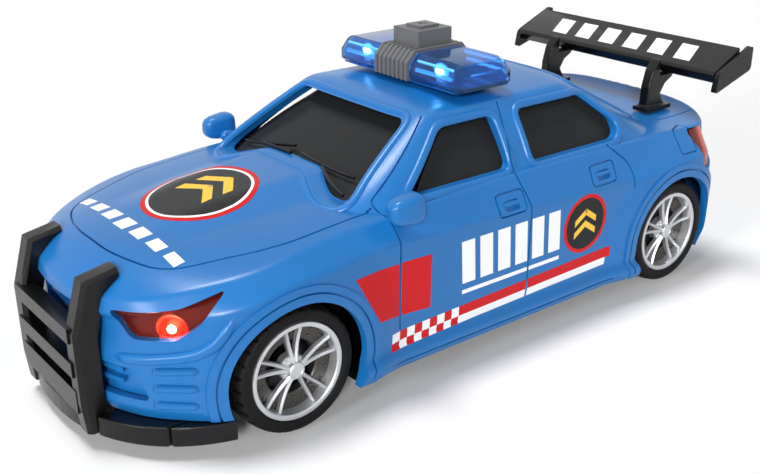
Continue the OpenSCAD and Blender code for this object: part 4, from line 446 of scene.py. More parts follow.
def bend(a, p, b, radius, steps):
    """Points of a rounded corner at p, between its neighbours a and b."""
    u, w = a - p, b - p
    lu, lw = np.linalg.norm(u), np.linalg.norm(w)
    t = min(radius, lu * CORNER_SHARE, lw * CORNER_SHARE)
    start, end = p + u / lu * t, p + w / lw * t
    return [start * (1 - q) ** 2 + p * 2 * q * (1 - q) + end * q * q for q in np.linspace(0, 1, steps + 1)]


def rounded(points, radius):
    """A closed outline with its corners rounded."""
    points = np.array(points, dtype=float)
    ring = zip(np.roll(points, 1, axis=0), points, np.roll(points, -1, axis=0))
    return np.array([q for a, p, b in ring for q in bend(a, p, b, radius, 6)])


def open_rounded(points, radius):
    """An open polyline with its inner corners rounded."""
    points = np.array(points, dtype=float)
    inner = [q for a, p, b in zip(points, points[1:], points[2:]) for q in bend(a, p, b, radius, 5)]
    return np.array([points[0]] + inner + [points[-1]])


def dense(points, step, closed=False):
    """A polyline resampled at even steps."""
    points = np.array(points, dtype=float)
    if closed:
        points = np.vstack([points, points[:1]])
    run = np.concatenate([[0], np.cumsum(np.linalg.norm(np.diff(points, axis=0), axis=1))])
    count = max(2, int(round(run[-1] / step)) + 1)
    want = np.linspace(0, run[-1], count)
    out = np.stack([np.interp(want, run, points[:, k]) for k in range(points.shape[1])], axis=1)
    return out[:-1] if closed else out


def circle(radius, count, centre=(0, 0)):
    """A round outline."""
    t = np.arange(count) * 2 * math.pi / count
    return np.stack([centre[0] + radius * np.cos(t), centre[1] + radius * np.sin(t)], axis=1)


def prism(outline_2d, low, high, axis):
    """A prism of an outline: along y it stands on (x, z), along x on (y, z) and along z on (x, y)."""
    n = len(outline_2d)
    ends = [np.insert(np.asarray(outline_2d, dtype=float), "xyz".index(axis), at, axis=1) for at in (low, high)]
    return np.concatenate(ends), bands(2, n) + caps(2, n)


def sweep(points, normals, section, closed=False):
    """A section (across, out) carried along points on a surface."""
    points, normals = np.array(points, float), np.array(normals, float)
    n, m = len(points), len(section)
    if closed:
        tangent = np.roll(points, -1, axis=0) - np.roll(points, 1, axis=0)
    else:
        tangent = np.gradient(points, axis=0)
    tangent /= np.linalg.norm(tangent, axis=1)[:, None]
    across = np.cross(tangent, normals)
    across /= np.linalg.norm(across, axis=1)[:, None]
    out = np.cross(across, tangent)
    section = np.asarray(section, float)
    verts = points[:, None] + across[:, None] * section[None, :, :1] + out[:, None] * section[None, :, 1:]
    return verts.reshape(-1, 3), bands(n, m, closed) + ([] if closed else caps(n, m))


def join(*forms):
    """Several closed forms as one list of vertices and faces."""
    verts, faces, start = [], [], 0
    for v, f in forms:
        verts.append(np.asarray(v, float))
        faces += [tuple(i + start for i in face) for face in f]
        start += len(v)
    return np.concatenate(verts), faces


def lathe(profile, count):
    """A closed ring turned from a profile (radius, along), about the y axis."""
    turn = np.arange(count) * 2 * math.pi / count
    verts = [(r * math.cos(k), y, r * math.sin(k)) for k in turn for r, y in profile]
    return np.array(verts), bands(count, len(profile), True)


def dome(centre, radius, height, count, rings):
    """A low dome that stands along y."""
    tops = [(radius * math.cos(k), height * math.sin(k)) for k in np.linspace(0, math.pi / 2, rings + 1)[:-1]]
    turn = np.arange(count) * 2 * math.pi / count
    verts = [(r * math.cos(k), y, r * math.sin(k)) for r, y in tops for k in turn] + [(0, height, 0)]
    last = (rings - 1) * count
    point = [(last + i, last + (i + 1) % count, rings * count) for i in range(count)]
    return np.array(verts) + centre, bands(rings, count) + point + caps(rings, count)[:1]


def bar(stations):
    """A closed bar through like sections, each a list of points."""
    n, m = len(stations), len(stations[0])
    return np.concatenate([np.asarray(p, float) for p in stations]), bands(n, m) + caps(n, m)


def slab(outer, inner):
    """A closed panel between two grids of points."""
    rows, cols = outer.shape[:2]
    total = rows * cols
    edge = (list(range(cols)) + [r * cols + cols - 1 for r in range(1, rows)]
            + [(rows - 1) * cols + c for c in range(cols - 2, -1, -1)] + [r * cols for r in range(rows - 2, 0, -1)])
    grid = [(r * cols + c, r * cols + c + 1, (r + 1) * cols + c + 1, (r + 1) * cols + c)
            for r in range(rows - 1) for c in range(cols - 1)]
    back = [tuple(i + total for i in reversed(f)) for f in grid]
    rim = [(a, a + total, b + total, b) for a, b in zip(edge, edge[1:] + edge[:1])]
    return np.concatenate([outer.reshape(-1, 3), inner.reshape(-1, 3)]), grid + back + rim


def egg(centre, radii, power, taper, count=32, rings=18):
    """A rounded block: its section shrinks towards the front by the taper."""
    turn = np.arange(count) * 2 * math.pi / count
    across, up = (np.sign(v) * np.abs(v) ** (2 / power) for v in (np.cos(turn), np.sin(turn)))
    sections = []
    for k in np.linspace(-0.499 * math.pi, 0.499 * math.pi, rings):
        x, r = math.copysign(abs(math.sin(k)) ** (2 / power), k), math.cos(k) ** (2 / power)
        size = r * (1 - taper * (x + 1) / 2)
        ring = [np.full(count, x * radii[0]), across * size * radii[1], up * size * radii[2]]
        sections.append(np.stack(ring, axis=1) + centre)
    return bar(sections)


SAME_POINT, NO_LENGTH = 0.004 * MM, 0.002 * MM


def frame_shift():
    """How far the row's origin lies from the middle of the wheelbase, in millimetres."""
    sizes = bpy.context.scene.car_sizes
    return (sizes.wheelbase / 2 - JOINT_AT["front_axle_spin"][0]) / MM


def solid(name, verts, faces):
    """A mesh object in the row frame from millimetres about mid wheelbase, with its faces turned outward."""
    mesh = bpy.data.meshes.new(name)
    mesh.from_pydata(((np.asarray(verts, float) - (frame_shift(), 0, 0)) * MM).tolist(), [], faces)
    work = bmesh.new()
    work.from_mesh(mesh)
    bmesh.ops.remove_doubles(work, verts=work.verts, dist=SAME_POINT)
    bmesh.ops.dissolve_degenerate(work, edges=work.edges, dist=NO_LENGTH)
    bmesh.ops.recalc_face_normals(work, faces=work.faces)
    work.to_mesh(mesh)
    work.free()
    obj = bpy.data.objects.new(name, mesh)
    bpy.context.scene.collection.objects.link(obj)
    return obj


def combine(target, operation, tools):
    """Joins, cuts or crosses a solid with others, which are used up."""
    for tool in tools:
        step = target.modifiers.new(tool.name, "BOOLEAN")
        step.operation, step.solver, step.object = operation, "MANIFOLD", tool
    bpy.context.view_layer.update()
    made = bpy.data.meshes.new_from_object(target.evaluated_get(bpy.context.evaluated_depsgraph_get()))
    if not made.polygons:
        raise RuntimeError(f"{target.name}: nothing is left after {operation}")
    target.modifiers.clear()
    spent = [target.data] + [t.data for t in tools]
    target.data = made
    for tool in tools:
        bpy.data.objects.remove(tool)
    for mesh in spent:
        bpy.data.meshes.remove(mesh)
    return target


def settle(obj, name, material, body="car", stands_for=(), angle=32):
    """Names a finished piece, gives it its finish and its body, if it has one, and smooths its shallow edges."""
    obj.name = obj.data.name = name
    obj.data.materials.clear()
    obj.data.materials.append(material)
    obj.data.shade_smooth()
    obj.data.set_sharp_from_angle(angle=math.radians(angle))
    if body:
        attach(obj, body)
    if stands_for:
        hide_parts(*stands_for)
    return obj


SOFT_EDGE = {"segments": 2, "angle": 35.0}


def dress(node, material, bevel):
    """Gives a CAD node its finish, and rounds its edges where a bevel is given."""
    obj = NODES[node]
    obj.data.materials.clear()
    obj.data.materials.append(material)
    if bevel:
        weld = obj.modifiers.new("weld", "WELD")
        weld.merge_threshold = NO_LENGTH
        soft = obj.modifiers.new("soft_edges", "BEVEL")
        soft.width, soft.segments, soft.limit_method = bevel * MM, SOFT_EDGE["segments"], "ANGLE"
        soft.angle_limit = math.radians(SOFT_EDGE["angle"])
        soft.harden_normals = True
        soft.use_clamp_overlap = True


def skin_tree(obj):
    """A search tree of a piece's faces."""
    return BVHTree.FromObject(obj, bpy.context.evaluated_depsgraph_get())


def cast(tree, origin, direction):
    """Where a line meets the skin, and the skin's normal there, in millimetres about mid wheelbase."""
    shift = frame_shift()
    hit, normal, _, _ = tree.ray_cast((Vector(origin) - Vector((shift, 0, 0))) * MM, Vector(direction))
    if hit is None:
        raise RuntimeError(f"no skin along {tuple(direction)} from {tuple(origin)}")
    return np.array(hit) / MM + (shift, 0, 0), np.array(normal)


FAR = 300.0


def landed(tree, rays):
    """Where rays, each an origin and a direction, meet the skin, and its normals there."""
    found = [cast(tree, *ray) for ray in rays]
    return [f[0] for f in found], [f[1] for f in found]


def on_side(tree, points, side):
    """Points (x, z) carried onto a flank."""
    return landed(tree, [((x, side * FAR, z), (0, -side, 0)) for x, z in points])


def on_top(tree, points):
    """Points (x, y) dropped onto the bonnet or boot lid."""
    return landed(tree, [((x, y, FAR), (0, 0, -1)) for x, y in points])


def on_end(tree, points, sign):
    """Points (y, z) carried onto the front or back."""
    return landed(tree, [((sign * FAR, y, z), (-sign, 0, 0)) for y, z in points])


# Outlines shared by the shell and what sits in it

PANES = {"foot": 0.17, "head": 0.84, "front_edge": -4.0, "rear_edge": -14.0, "front_ends": (0.57, 0.79),
         "rear_ends": (0.96, 0.635, 0.6), "rear_step": 0.3, "corner": 3.0}
SCREENS = {"lip": 0.4, "foot_at": 0.65, "corner_y": 35.5, "head_inset": 4.5, "head_drop": 1.6,
           "rear_half": 31.0, "rear_rise": 2.6}
GRILLE = ((-15, 0.56), (15, 0.56), (20, 0.71), (-20, 0.71))
INTAKE = ((-34, 0.29), (34, 0.29), (31, 0.45), (-31, 0.45))
NOSE_CORNER = 2.0
LAMPS = {
    "headlight": {"turn": 41, "at": (0.66, 0.7), "size": (31, 14), "z": 0.72,
                  "shares": ((-0.5, 0.06), (-0.31, -0.5), (0.1, -0.43), (0.32, -0.08), (0.5, 0.5), (0.14, 0.2),
                             (-0.2, 0.1)),
                  "span": (0.3, 0.86), "levels": (0.6, 0.99), "deep": 1.9},
    "taillight": {"turn": 124, "at": (0.55, 0.9), "size": (17, 15), "z": 0.84,
                  "shares": ((-0.5, -0.4), (-0.3, -0.5), (0.3, -0.25), (0.5, 0.1), (0.42, 0.45), (-0.5, 0.5)),
                  "span": (2.03, 2.9), "levels": (0.57, 0.985), "deep": 0.7},
}
LAMP_CORNER, LAMP_REACH = 2.0, (-12.0, 24.0)
HANDS = (("left", 1), ("right", -1))


def cabin_level(s, share):
    """A height between the cabin's foot and the roof's edge."""
    return mix(s.cabin_foot, s.roof_edge, share)


def openings(s):
    """Outlines of the windows and grilles, in millimetres about mid wheelbase."""
    foot_z, head_z = cabin_level(s, PANES["foot"]), cabin_level(s, PANES["head"])
    front_x, rear_x = PANES["front_edge"], PANES["rear_edge"]
    front_foot, front_head = (end * share for end, share in zip(s.screen, PANES["front_ends"]))
    rear_head, rear_step, rear_foot = PANES["rear_ends"]
    front_pane = [(front_x, foot_z), (front_foot, foot_z), (front_head, head_z), (front_x, head_z)]
    rear_pane = [(rear_x, foot_z), (rear_x, head_z), (-s.rear_screen[1] * rear_head, head_z),
                 (-s.rear_screen[0] * rear_step, mix(foot_z, head_z, PANES["rear_step"])),
                 (-s.rear_screen[0] * rear_foot, foot_z)]
    lip, soft = SCREENS["lip"], BULGE["soft"]
    bulge_half = (BULGE["width"] - soft) / 2
    bonnet_z = float(s.along(CENTRE_SHARES, np.array(s.base * SCREENS["foot_at"]))) + BULGE["height"] + lip
    corner_z = s.shoulder - lip / 2
    head_half, screen_head = s.roof_w / 2 - SCREENS["head_inset"], s.roof_edge - SCREENS["head_drop"]
    half = [(bulge_half, bonnet_z), (bulge_half + soft, corner_z + lip), (SCREENS["corner_y"], corner_z),
            (head_half, screen_head)]
    screen = half + [(-y, z) for y, z in half[::-1]]
    boot_z = float(s.along(CENTRE_SHARES, np.array(-s.base))) + SCREENS["rear_rise"]
    rear_half = SCREENS["rear_half"]
    rear = [(-rear_half, boot_z), (rear_half, boot_z), (head_half, screen_head), (-head_half, screen_head)]
    windows = {"front_pane": front_pane, "rear_pane": rear_pane, "screen": screen, "rear": rear}
    cut = {name: rounded(points, PANES["corner"]) for name, points in windows.items()}
    for name, shares in (("grille", GRILLE), ("intake", INTAKE)):
        cut[name] = rounded([(y, s.shoulder * z) for y, z in shares], NOSE_CORNER)
    return cut


def lamp_prism(s, name, side):
    """A prism through a lamp's opening, square to its face."""
    lamp = LAMPS[name]
    ahead, out = lamp["at"]
    middle_x = s.base + s.nose_reach * ahead if name == "headlight" else s.tail_x + TAIL_CORNER * ahead
    turn = math.radians(lamp["turn"])
    shape = rounded([(p[0] * lamp["size"][0], p[1] * lamp["size"][1]) for p in lamp["shares"]], LAMP_CORNER)
    verts, faces = prism(shape, *LAMP_REACH, "x")
    x = verts[:, 0] * math.cos(turn) - verts[:, 1] * math.sin(turn)
    y = verts[:, 0] * math.sin(turn) + verts[:, 1] * math.cos(turn)
    verts = np.stack([x + middle_x, side * (y + s.half_w * out), verts[:, 2] + s.shoulder * lamp["z"]], axis=1)
    return verts, faces


DOOR_LINES = {"foot": 0.26, "roof_gap": 0.56, "screen_gap": 1.5, "front": 0.565, "front_lean": 3.0, "front_knee": 0.95,
              "middle": -8.0, "middle_knees": ((4.0, 1.01), (1.0, 0.85)), "rear": -0.6, "arch": -0.7,
              "arch_knees": (0.88, 0.74)}
LIDS = {"start": 0.6, "half": 0.8, "nose_half": 0.6, "nose_share": 0.4, "corner": 0.6, "nose": 0.74,
        "boot_half": 0.68, "boot_gaps": (2.0, 4.0)}


def panel_lines(s):
    """Door lines (x, z) and lid lines (x, y)."""
    foot_z, top_z = mix(s.sill, s.shoulder, DOOR_LINES["foot"]), s.roof_edge - DOOR_LINES["roof_gap"]
    front_x, mid_x = s.base * DOOR_LINES["front"], DOOR_LINES["middle"]
    arch_x = s.base * DOOR_LINES["arch"]
    front = [(s.screen[1] - DOOR_LINES["screen_gap"], top_z),
             (front_x + DOOR_LINES["front_lean"], cabin_level(s, PANES["foot"])),
             (front_x, s.shoulder * DOOR_LINES["front_knee"]), (front_x, foot_z)]
    middle = [(mid_x + ahead, s.shoulder * level) for ahead, level in DOOR_LINES["middle_knees"]]
    middle = [(mid_x, top_z)] + middle + [(middle[-1][0], foot_z)]
    rear = [(s.base * DOOR_LINES["rear"], s.shoulder)]
    rear += [(arch_x, s.shoulder * level) for level in DOOR_LINES["arch_knees"]]
    half, nose_half = s.half_w * LIDS["half"], s.half_w * LIDS["nose_half"]
    nose_x, corner_x = (s.base + s.nose_reach * LIDS[name] for name in ("nose", "corner"))
    bonnet = [(s.base * LIDS["start"], half), (s.base, half), (corner_x, nose_half),
              (nose_x, nose_half * LIDS["nose_share"])]
    bonnet = bonnet + [(x, -y) for x, y in bonnet[::-1]]
    ends = (x + gap for x, gap in zip((-s.rear_screen[0], s.tail_x), LIDS["boot_gaps"]))
    boot = [(x, s.half_w * LIDS["boot_half"]) for x in ends]
    return [front, middle, rear], [bonnet, boot, [(x, -y) for x, y in boot]]


def corners(at, size):
    """The corners of an upright rectangle."""
    (x, z), (w, h) = at, size
    return [(x - w / 2, z - h / 2), (x + w / 2, z - h / 2), (x + w / 2, z + h / 2), (x - w / 2, z + h / 2)]


def grown(points, by):
    """A closed outline moved outward."""
    points = np.asarray(points, float)
    along = np.roll(points, -1, axis=0) - np.roll(points, 1, axis=0)
    out = np.stack([along[:, 1], -along[:, 0]], axis=1) / np.linalg.norm(along, axis=1)[:, None]
    area = np.sum(points[:, 0] * np.roll(points[:, 1], -1) - np.roll(points[:, 0], -1) * points[:, 1])
    return points + out * by * math.copysign(1, area)


def relief(tree, points, side, low, high):
    """A small plate or pocket on a flank, between two heights over the skin."""
    ring, normals = (np.array(v) for v in on_side(tree, points, side))
    (mid,), (mid_normal,) = on_side(tree, [np.mean(points, axis=0)], side)
    n = len(ring)
    verts = np.concatenate([ring + normals * low, ring + normals * high,
                            [mid + mid_normal * low, mid + mid_normal * high]])
    faces = bands(2, n) + [(2 * n, (i + 1) % n, i) for i in range(n)]
    return verts, faces + [(2 * n + 1, n + i, n + (i + 1) % n) for i in range(n)]


# The shell

STOPS = {"tub": (56, 100, 44), "cabin": (36, 40, 36), "hollow": (18, 30, 14)}
THROUGH, ARCH_REACH, AHEAD, NOSE_DEPTH = 80.0, 60.0, 8.0, 0.45
SPLITTER_ROOM = 2.1
BEAD_SECTION = ((-1, -1.2), (-1, 0.1), (-0.75, 0.68), (-0.35, 1), (0.35, 1), (0.75, 0.68), (1, 0.1), (1, -1.2))
FRAME = {"half": 1.3, "rise": 0.75, "seat": 0.8, "step": 0.9}
RIBS = {"levels": (0.19, 0.32, 0.45), "stops": (0.465, 0.63), "half": 1.15, "rise": 1.1}
BLADE = {"path": ((0.3, 0.53), (0.5, 0.545), (0.62, 0.565), (0.687, 0.617), (0.734, 0.696), (0.77, 0.74)),
         "half": 1.6, "rise": 1.2}
BEAD_TAPER = 0.12
ARCH_LINE = {"out": 2.7, "turn": (-24, 204), "foot": 1.5}
HANDLES = ((0.8, 49.2), (-42.0, 49.4))
HANDLE_SIZE, HANDLE_CORNER = (11.5, 6.4), 1.4
HANDLE_CUP = {"rise": -0.4, "shares": (0.56, 0.46), "corner": 1.2, "heights": (-1.5, 1.5)}
HANDLE_PULL = {"rise": 0.1, "shares": (0.6, 0.17), "corner": 0.5, "heights": (-1.2, 0.25)}
SKIRT_LINE, SKIRT_ENDS = 10.9, (0.6, -0.6)
GROOVE = {"proud": 1.2, "floor": 0.6, "step": 0.9, "fine_step": 0.5, "skirt_step": 1.5}
LINE_CORNERS = {"door": 4.0, "lid": 8.0, "tail": 3.0, "flap": 1.2}
HOLLOW_FOOT, HOLLOW_DROP = 0.14, 2.0
TAIL_LINES = (((-0.68, 0.98), (-0.6, 0.68), (0.6, 0.68), (0.68, 0.98)), ((-0.8, 0.47), (0.8, 0.47)))
FLAP_AT, FLAP_SIZE = (-86.0, 51.8), (8.5, 7.6)


def tub_form(s, out=0.0):
    """The lower body, or a copy that stands out from it."""
    a = stops(*STOPS["tub"])[None]
    levels, crown = np.linspace(0, 1, 81)[:, None], np.linspace(1, 0, 61)[1:, None]
    return ring_solid(even(np.concatenate([s.side(a, levels, -out), s.top(a, crown, -out)]), 128, 1))


def cabin_form(s):
    """The cabin, down into the lower body."""
    a = stops(*STOPS["cabin"])[None]
    levels, crown = np.linspace(0, 1, 61)[:, None], np.linspace(1, 0, 41)[1:, None]
    return ring_solid(even(np.concatenate([s.cabin_side(a, levels), s.cabin_top(a, crown)]), 64, 2))


def arch_lips(s):
    """Raised lips round the wheel arches."""
    lips = solid("arch_lips", *tub_form(s, FLARE["lip_out"]))
    rings = [solid("arch_ring", *prism(circle(s.arch_r + FLARE["lip_width"], 128, (x, s.wheel_r)),
                                       -ARCH_REACH, ARCH_REACH, "y")) for x in (s.base, -s.base)]
    return combine(lips, "INTERSECT", [combine(rings[0], "UNION", rings[1:])])


def hollows(s):
    """The space inside the shell, a wall's thickness from the skin."""
    a, b, d = stops(*STOPS["hollow"])[None], stops(*STOPS["cabin"])[None], s.wall
    tub = [s.side(a, np.array([[0.0]]), d) - (0, 0, HOLLOW_DROP),
           s.side(a, np.linspace(HOLLOW_FOOT, 1, 16)[:, None], d), s.top(a, np.linspace(1, 0, 13)[1:, None], d)]
    cabin = [s.cabin_side(b, np.linspace(0, 1, 13)[:, None], d), s.cabin_top(b, np.linspace(1, 0, 9)[1:, None], d)]
    return [solid(name, *ring_solid(np.concatenate(rows)))
            for name, rows in (("tub_hollow", tub), ("cabin_hollow", cabin))]


def holes(s, cut):
    """What is cut through the shell: arches, windows, grilles, lamps and room for the splitter."""
    tools = [solid("arch", *prism(circle(s.arch_r, 128, (x, s.wheel_r)), -THROUGH, THROUGH, "y"))
             for x in (s.base, -s.base)]
    tools += [solid(name, *prism(cut[name], -THROUGH, THROUGH, "y")) for name in ("front_pane", "rear_pane")]
    tools.append(solid("screen", *prism(cut["screen"], 0, s.screen[0], "x")))
    tools.append(solid("rear", *prism(cut["rear"], -s.rear_screen[0], -s.base / 2, "x")))
    ahead = s.nose_x + AHEAD
    behind = s.nose_x - s.nose_reach * NOSE_DEPTH
    tools += [solid(name, *prism(cut[name], behind, ahead, "x")) for name in ("grille", "intake")]
    tools += [solid(name, *lamp_prism(s, name, side)) for side in (1, -1) for name in LAMPS]
    back, half = s.base + s.arch_r / 2, s.half_w
    room = [(back, -half), (ahead, -half), (ahead, half), (back, half)]
    return tools + [solid("splitter_room", *prism(room, 0, s.sill + SPLITTER_ROOM, "z"))]


def window_frames(tree, cut):
    """Raised frames round the windows."""
    section = [(u * FRAME["half"], w * FRAME["rise"]) for u, w in BEAD_SECTION]
    ring = {name: grown(dense(cut[name], FRAME["step"], True), FRAME["half"] * FRAME["seat"])
            for name in ("front_pane", "rear_pane", "screen", "rear")}
    paths = [on_side(tree, ring[name], side) for side in (1, -1) for name in ("front_pane", "rear_pane")]
    paths += [on_end(tree, ring[name], sign) for name, sign in (("screen", 1), ("rear", -1))]
    return [solid("window_frame", *sweep(*path, section, True)) for path in paths]


def bumper_beads(s):
    """Ribs on the bumper's corners and a blade under each head lamp, which sink into the skin at their ends."""
    rib_at = np.linspace(*RIBS["stops"], 24)
    blade_at = np.linspace(BLADE["path"][0][0], BLADE["path"][-1][0], 40)
    paths = [(rib_at, np.full(len(rib_at), level), RIBS) for level in RIBS["levels"]]
    paths.append((blade_at, curve(BLADE["path"], blade_at), BLADE))
    beads = []
    for side in (1, -1):
        for at, level, size in paths:
            run = np.linspace(0, 1, len(at))
            sink = size["rise"] * (1 - ease(np.minimum(run, 1 - run) / BEAD_TAPER))
            line, up = s.side(side * at, level, sink), s.side(side * at, level + 0.02, sink)
            normal = np.cross(np.gradient(line, axis=0), up - line)
            normal *= np.sign(normal[:, 1:2]) * side
            normal /= np.linalg.norm(normal, axis=1)[:, None]
            section = [(u * size["half"], w * size["rise"]) for u, w in BEAD_SECTION]
            beads.append(solid("bumper_bead", *sweep(line, normal, section)))
    return beads


def handle_form(tree, at, side, part):
    """A cup or a pull within a handle's plate."""
    size = [whole * share for whole, share in zip(HANDLE_SIZE, part["shares"])]
    return relief(tree, rounded(corners((at[0], at[1] + part["rise"]), size), part["corner"]), side, *part["heights"])


def grooves(s, tree, lip_tree):
    """Moulded lines: doors, lids, arches, handles, skirts, fuel flaps and tail."""
    doors, lids = panel_lines(s)
    w, d = s.line_w / 2, s.line_d
    proud, floor, step = GROOVE["proud"], w * GROOVE["floor"], GROOVE["step"]
    section = [(-w, proud), (-floor, -d), (floor, -d), (w, proud)]
    turn = np.radians(np.linspace(*ARCH_LINE["turn"], 120))
    radius = s.arch_r + ARCH_LINE["out"]
    skirt = dense([(x * s.base, SKIRT_LINE) for x in SKIRT_ENDS], GROOVE["skirt_step"])
    flap = dense(rounded(corners(FLAP_AT, FLAP_SIZE), LINE_CORNERS["flap"]), GROOVE["fine_step"], True)
    lines = []
    for side in (1, -1):
        for path in doors:
            path = dense(open_rounded(path, LINE_CORNERS["door"]), step)
            lines.append(solid("door_line", *sweep(*on_side(tree, path, side), section)))
        for x in (s.base, -s.base):
            ring = np.stack([x + radius * np.cos(turn), s.wheel_r + radius * np.sin(turn)], axis=1)
            ring = ring[ring[:, 1] > s.sill + ARCH_LINE["foot"]]
            lines.append(solid("arch_line", *sweep(*on_side(lip_tree, ring, side), section)))
        for at in HANDLES:
            plate = dense(rounded(corners(at, HANDLE_SIZE), HANDLE_CORNER), GROOVE["fine_step"], True)
            lines.append(solid("handle_line", *sweep(*on_side(tree, plate, side), section, True)))
            lines.append(solid("handle_cup", *handle_form(tree, at, side, HANDLE_CUP)))
        lines.append(solid("skirt_line", *sweep(*on_side(tree, skirt, side), section)))
        lines.append(solid("flap_line", *sweep(*on_side(tree, flap, side), section, True)))
    for path in lids:
        path = dense(open_rounded(path, LINE_CORNERS["lid"]), step)
        lines.append(solid("lid_line", *sweep(*on_top(tree, path), section)))
    for shares in TAIL_LINES:
        path = [(y * s.half_w, z * s.shoulder) for y, z in shares]
        path = dense(open_rounded(path, LINE_CORNERS["tail"]), step)
        lines.append(solid("tail_line", *sweep(*on_end(tree, path, -1), section)))
    return lines


def handle_pulls(tree):
    """The bar across each handle's cup."""
    return [solid("handle_pull", *handle_form(tree, at, side, HANDLE_PULL)) for side in (1, -1) for at in HANDLES]


class CAR_OT_shell(bpy.types.Operator):
    """Build the moulded shell with its openings, lips and panel lines"""
    bl_idname = "car.shell"
    bl_label = "Shell"

    def execute(self, context):
        s = Skin(context.scene.car_sizes)
        cut = openings(s)
        shell, cabin = solid("tub", *tub_form(s)), solid("cabin", *cabin_form(s))
        cabin_tree = skin_tree(cabin)
        combine(shell, "UNION", [cabin])
        tree = skin_tree(shell)
        combine(shell, "UNION", [arch_lips(s)])
        lip_tree = skin_tree(shell)
        combine(shell, "DIFFERENCE", hollows(s) + holes(s, cut))
        combine(shell, "UNION", window_frames(cabin_tree, cut) + bumper_beads(s))
        combine(shell, "DIFFERENCE", grooves(s, tree, lip_tree))
        combine(shell, "UNION", handle_pulls(tree))
        settle(shell, "shell", materials()["body_blue"], stands_for=("body_shell",))
        return {"FINISHED"}


# Windows

PANE = {"outer": 0.8, "inner": 2.0, "levels": (0.07, 0.977), "front": 0.9, "rear": (2.26, 3), "side": (0.935, 2)}
PANE_ENDS = ((0.07, 0.65), (0.4, 0.65), (0.84, 0.515), (0.977, 0.47))


class CAR_OT_windows(bpy.types.Operator):
    """Build the smoke windows behind the shell's openings"""
    bl_idname = "car.windows"
    bl_label = "Windows"

    def execute(self, context):
        s = Skin(context.scene.car_sizes)
        smoke = materials()["window_smoke"]
        levels = np.linspace(*PANE["levels"], 24)[:, None]
        tail, flank = np.linspace(*PANE["rear"], 30), np.linspace(*PANE["side"], 36)
        spans = {"windscreen": np.linspace(-PANE["front"], PANE["front"], 60),
                 "rear_window": np.concatenate([tail, -tail[-2::-1]]),
                 "side_window_left": flank, "side_window_right": -flank}
        ends = -s.rear_screen[0] * lookup(PANE_ENDS, levels)[:, 0]
        for name, a in spans.items():
            faces = []
            for deep in (s.wall + PANE["outer"], s.wall + PANE["inner"]):
                grid = s.cabin_side(a[None], levels, deep)
                if name.startswith("side"):
                    # Behind the rear pane's edge the window runs straight on
                    x, y, z = grid[:, -1].T
                    straight = [np.stack([mix(x, ends, k), y, z], axis=1)[:, None] for k in (0.5, 1)]
                    grid = np.concatenate([grid] + straight, axis=1)
                faces.append(grid)
            settle(solid(name, *slab(*faces)), name + "_pane", smoke, stands_for=(name,), angle=40)
        return {"FINISHED"}


# Wheels, about the middle of a rim's outer face

WHEEL = {"spokes": 5, "fan_deg": 11.0, "root_fan_deg": 9.0, "lug_at": 3.2, "lug_y": -2.9, "lug": (0.5, 0.5, 8, 3),
         "stud_y": -4.02, "stud": (0.6, 0.5, 10, 3)}
SPOKE = {"radii": (1.8, 13.7), "widths": (1.3, 0.9), "bow": 0.8, "face_y": -1.3, "dip": 0.75, "fall": 0.2}
LIP_PROFILE = ((14.66, -11), (14.66, -0.8), (14.5, -0.35), (14.2, -0.25), (13.4, -0.35), (13.1, -0.7), (13.0, -1.6),
               (12.9, -4), (12.9, -11))
HUB_PROFILE = ((0.01, -6), (4.1, -6), (4.1, -3.6), (3.8, -3.1), (2.6, -2.5), (2.5, -1.1), (2.2, -0.8), (1.6, -0.7),
               (1.45, -0.95), (0.01, -0.95))
DISC_PROFILE = ((8.2, -7), (12.95, -7), (12.95, -4), (8.6, -4), (8.2, -4.4))
BACK_PROFILE = ((0.01, -8.4), (13.1, -8.4), (13.1, -7.9), (0.01, -7.9))
SPOKE_SECTION = ((-1, -1.9), (-1, -0.5), (-0.3, 0), (0.3, 0), (1, -0.5), (1, -1.9))
STUD_RINGS = ((11.7, 20, 0.0), (9.7, 10, 0.3))


def spoke(middle, fan, root_fan):
    """One thin ridged spoke from the hub to the lip."""
    sections = []
    for k in np.linspace(0, 1, 9):
        r, width = mix(*SPOKE["radii"], k), mix(*SPOKE["widths"], k)
        angle = middle + mix(root_fan, fan, k ** SPOKE["bow"])
        y = SPOKE["face_y"] - SPOKE["dip"] * math.sin(math.pi * k) - SPOKE["fall"] * k
        along = np.array([math.cos(angle), 0, math.sin(angle)])
        across = np.array([-math.sin(angle), 0, math.cos(angle)])
        at = along * r + np.array([0, y, 0])
        sections.append([at + across * u * width / 2 + np.array([0, h, 0]) for u, h in SPOKE_SECTION])
    return bar(sections)


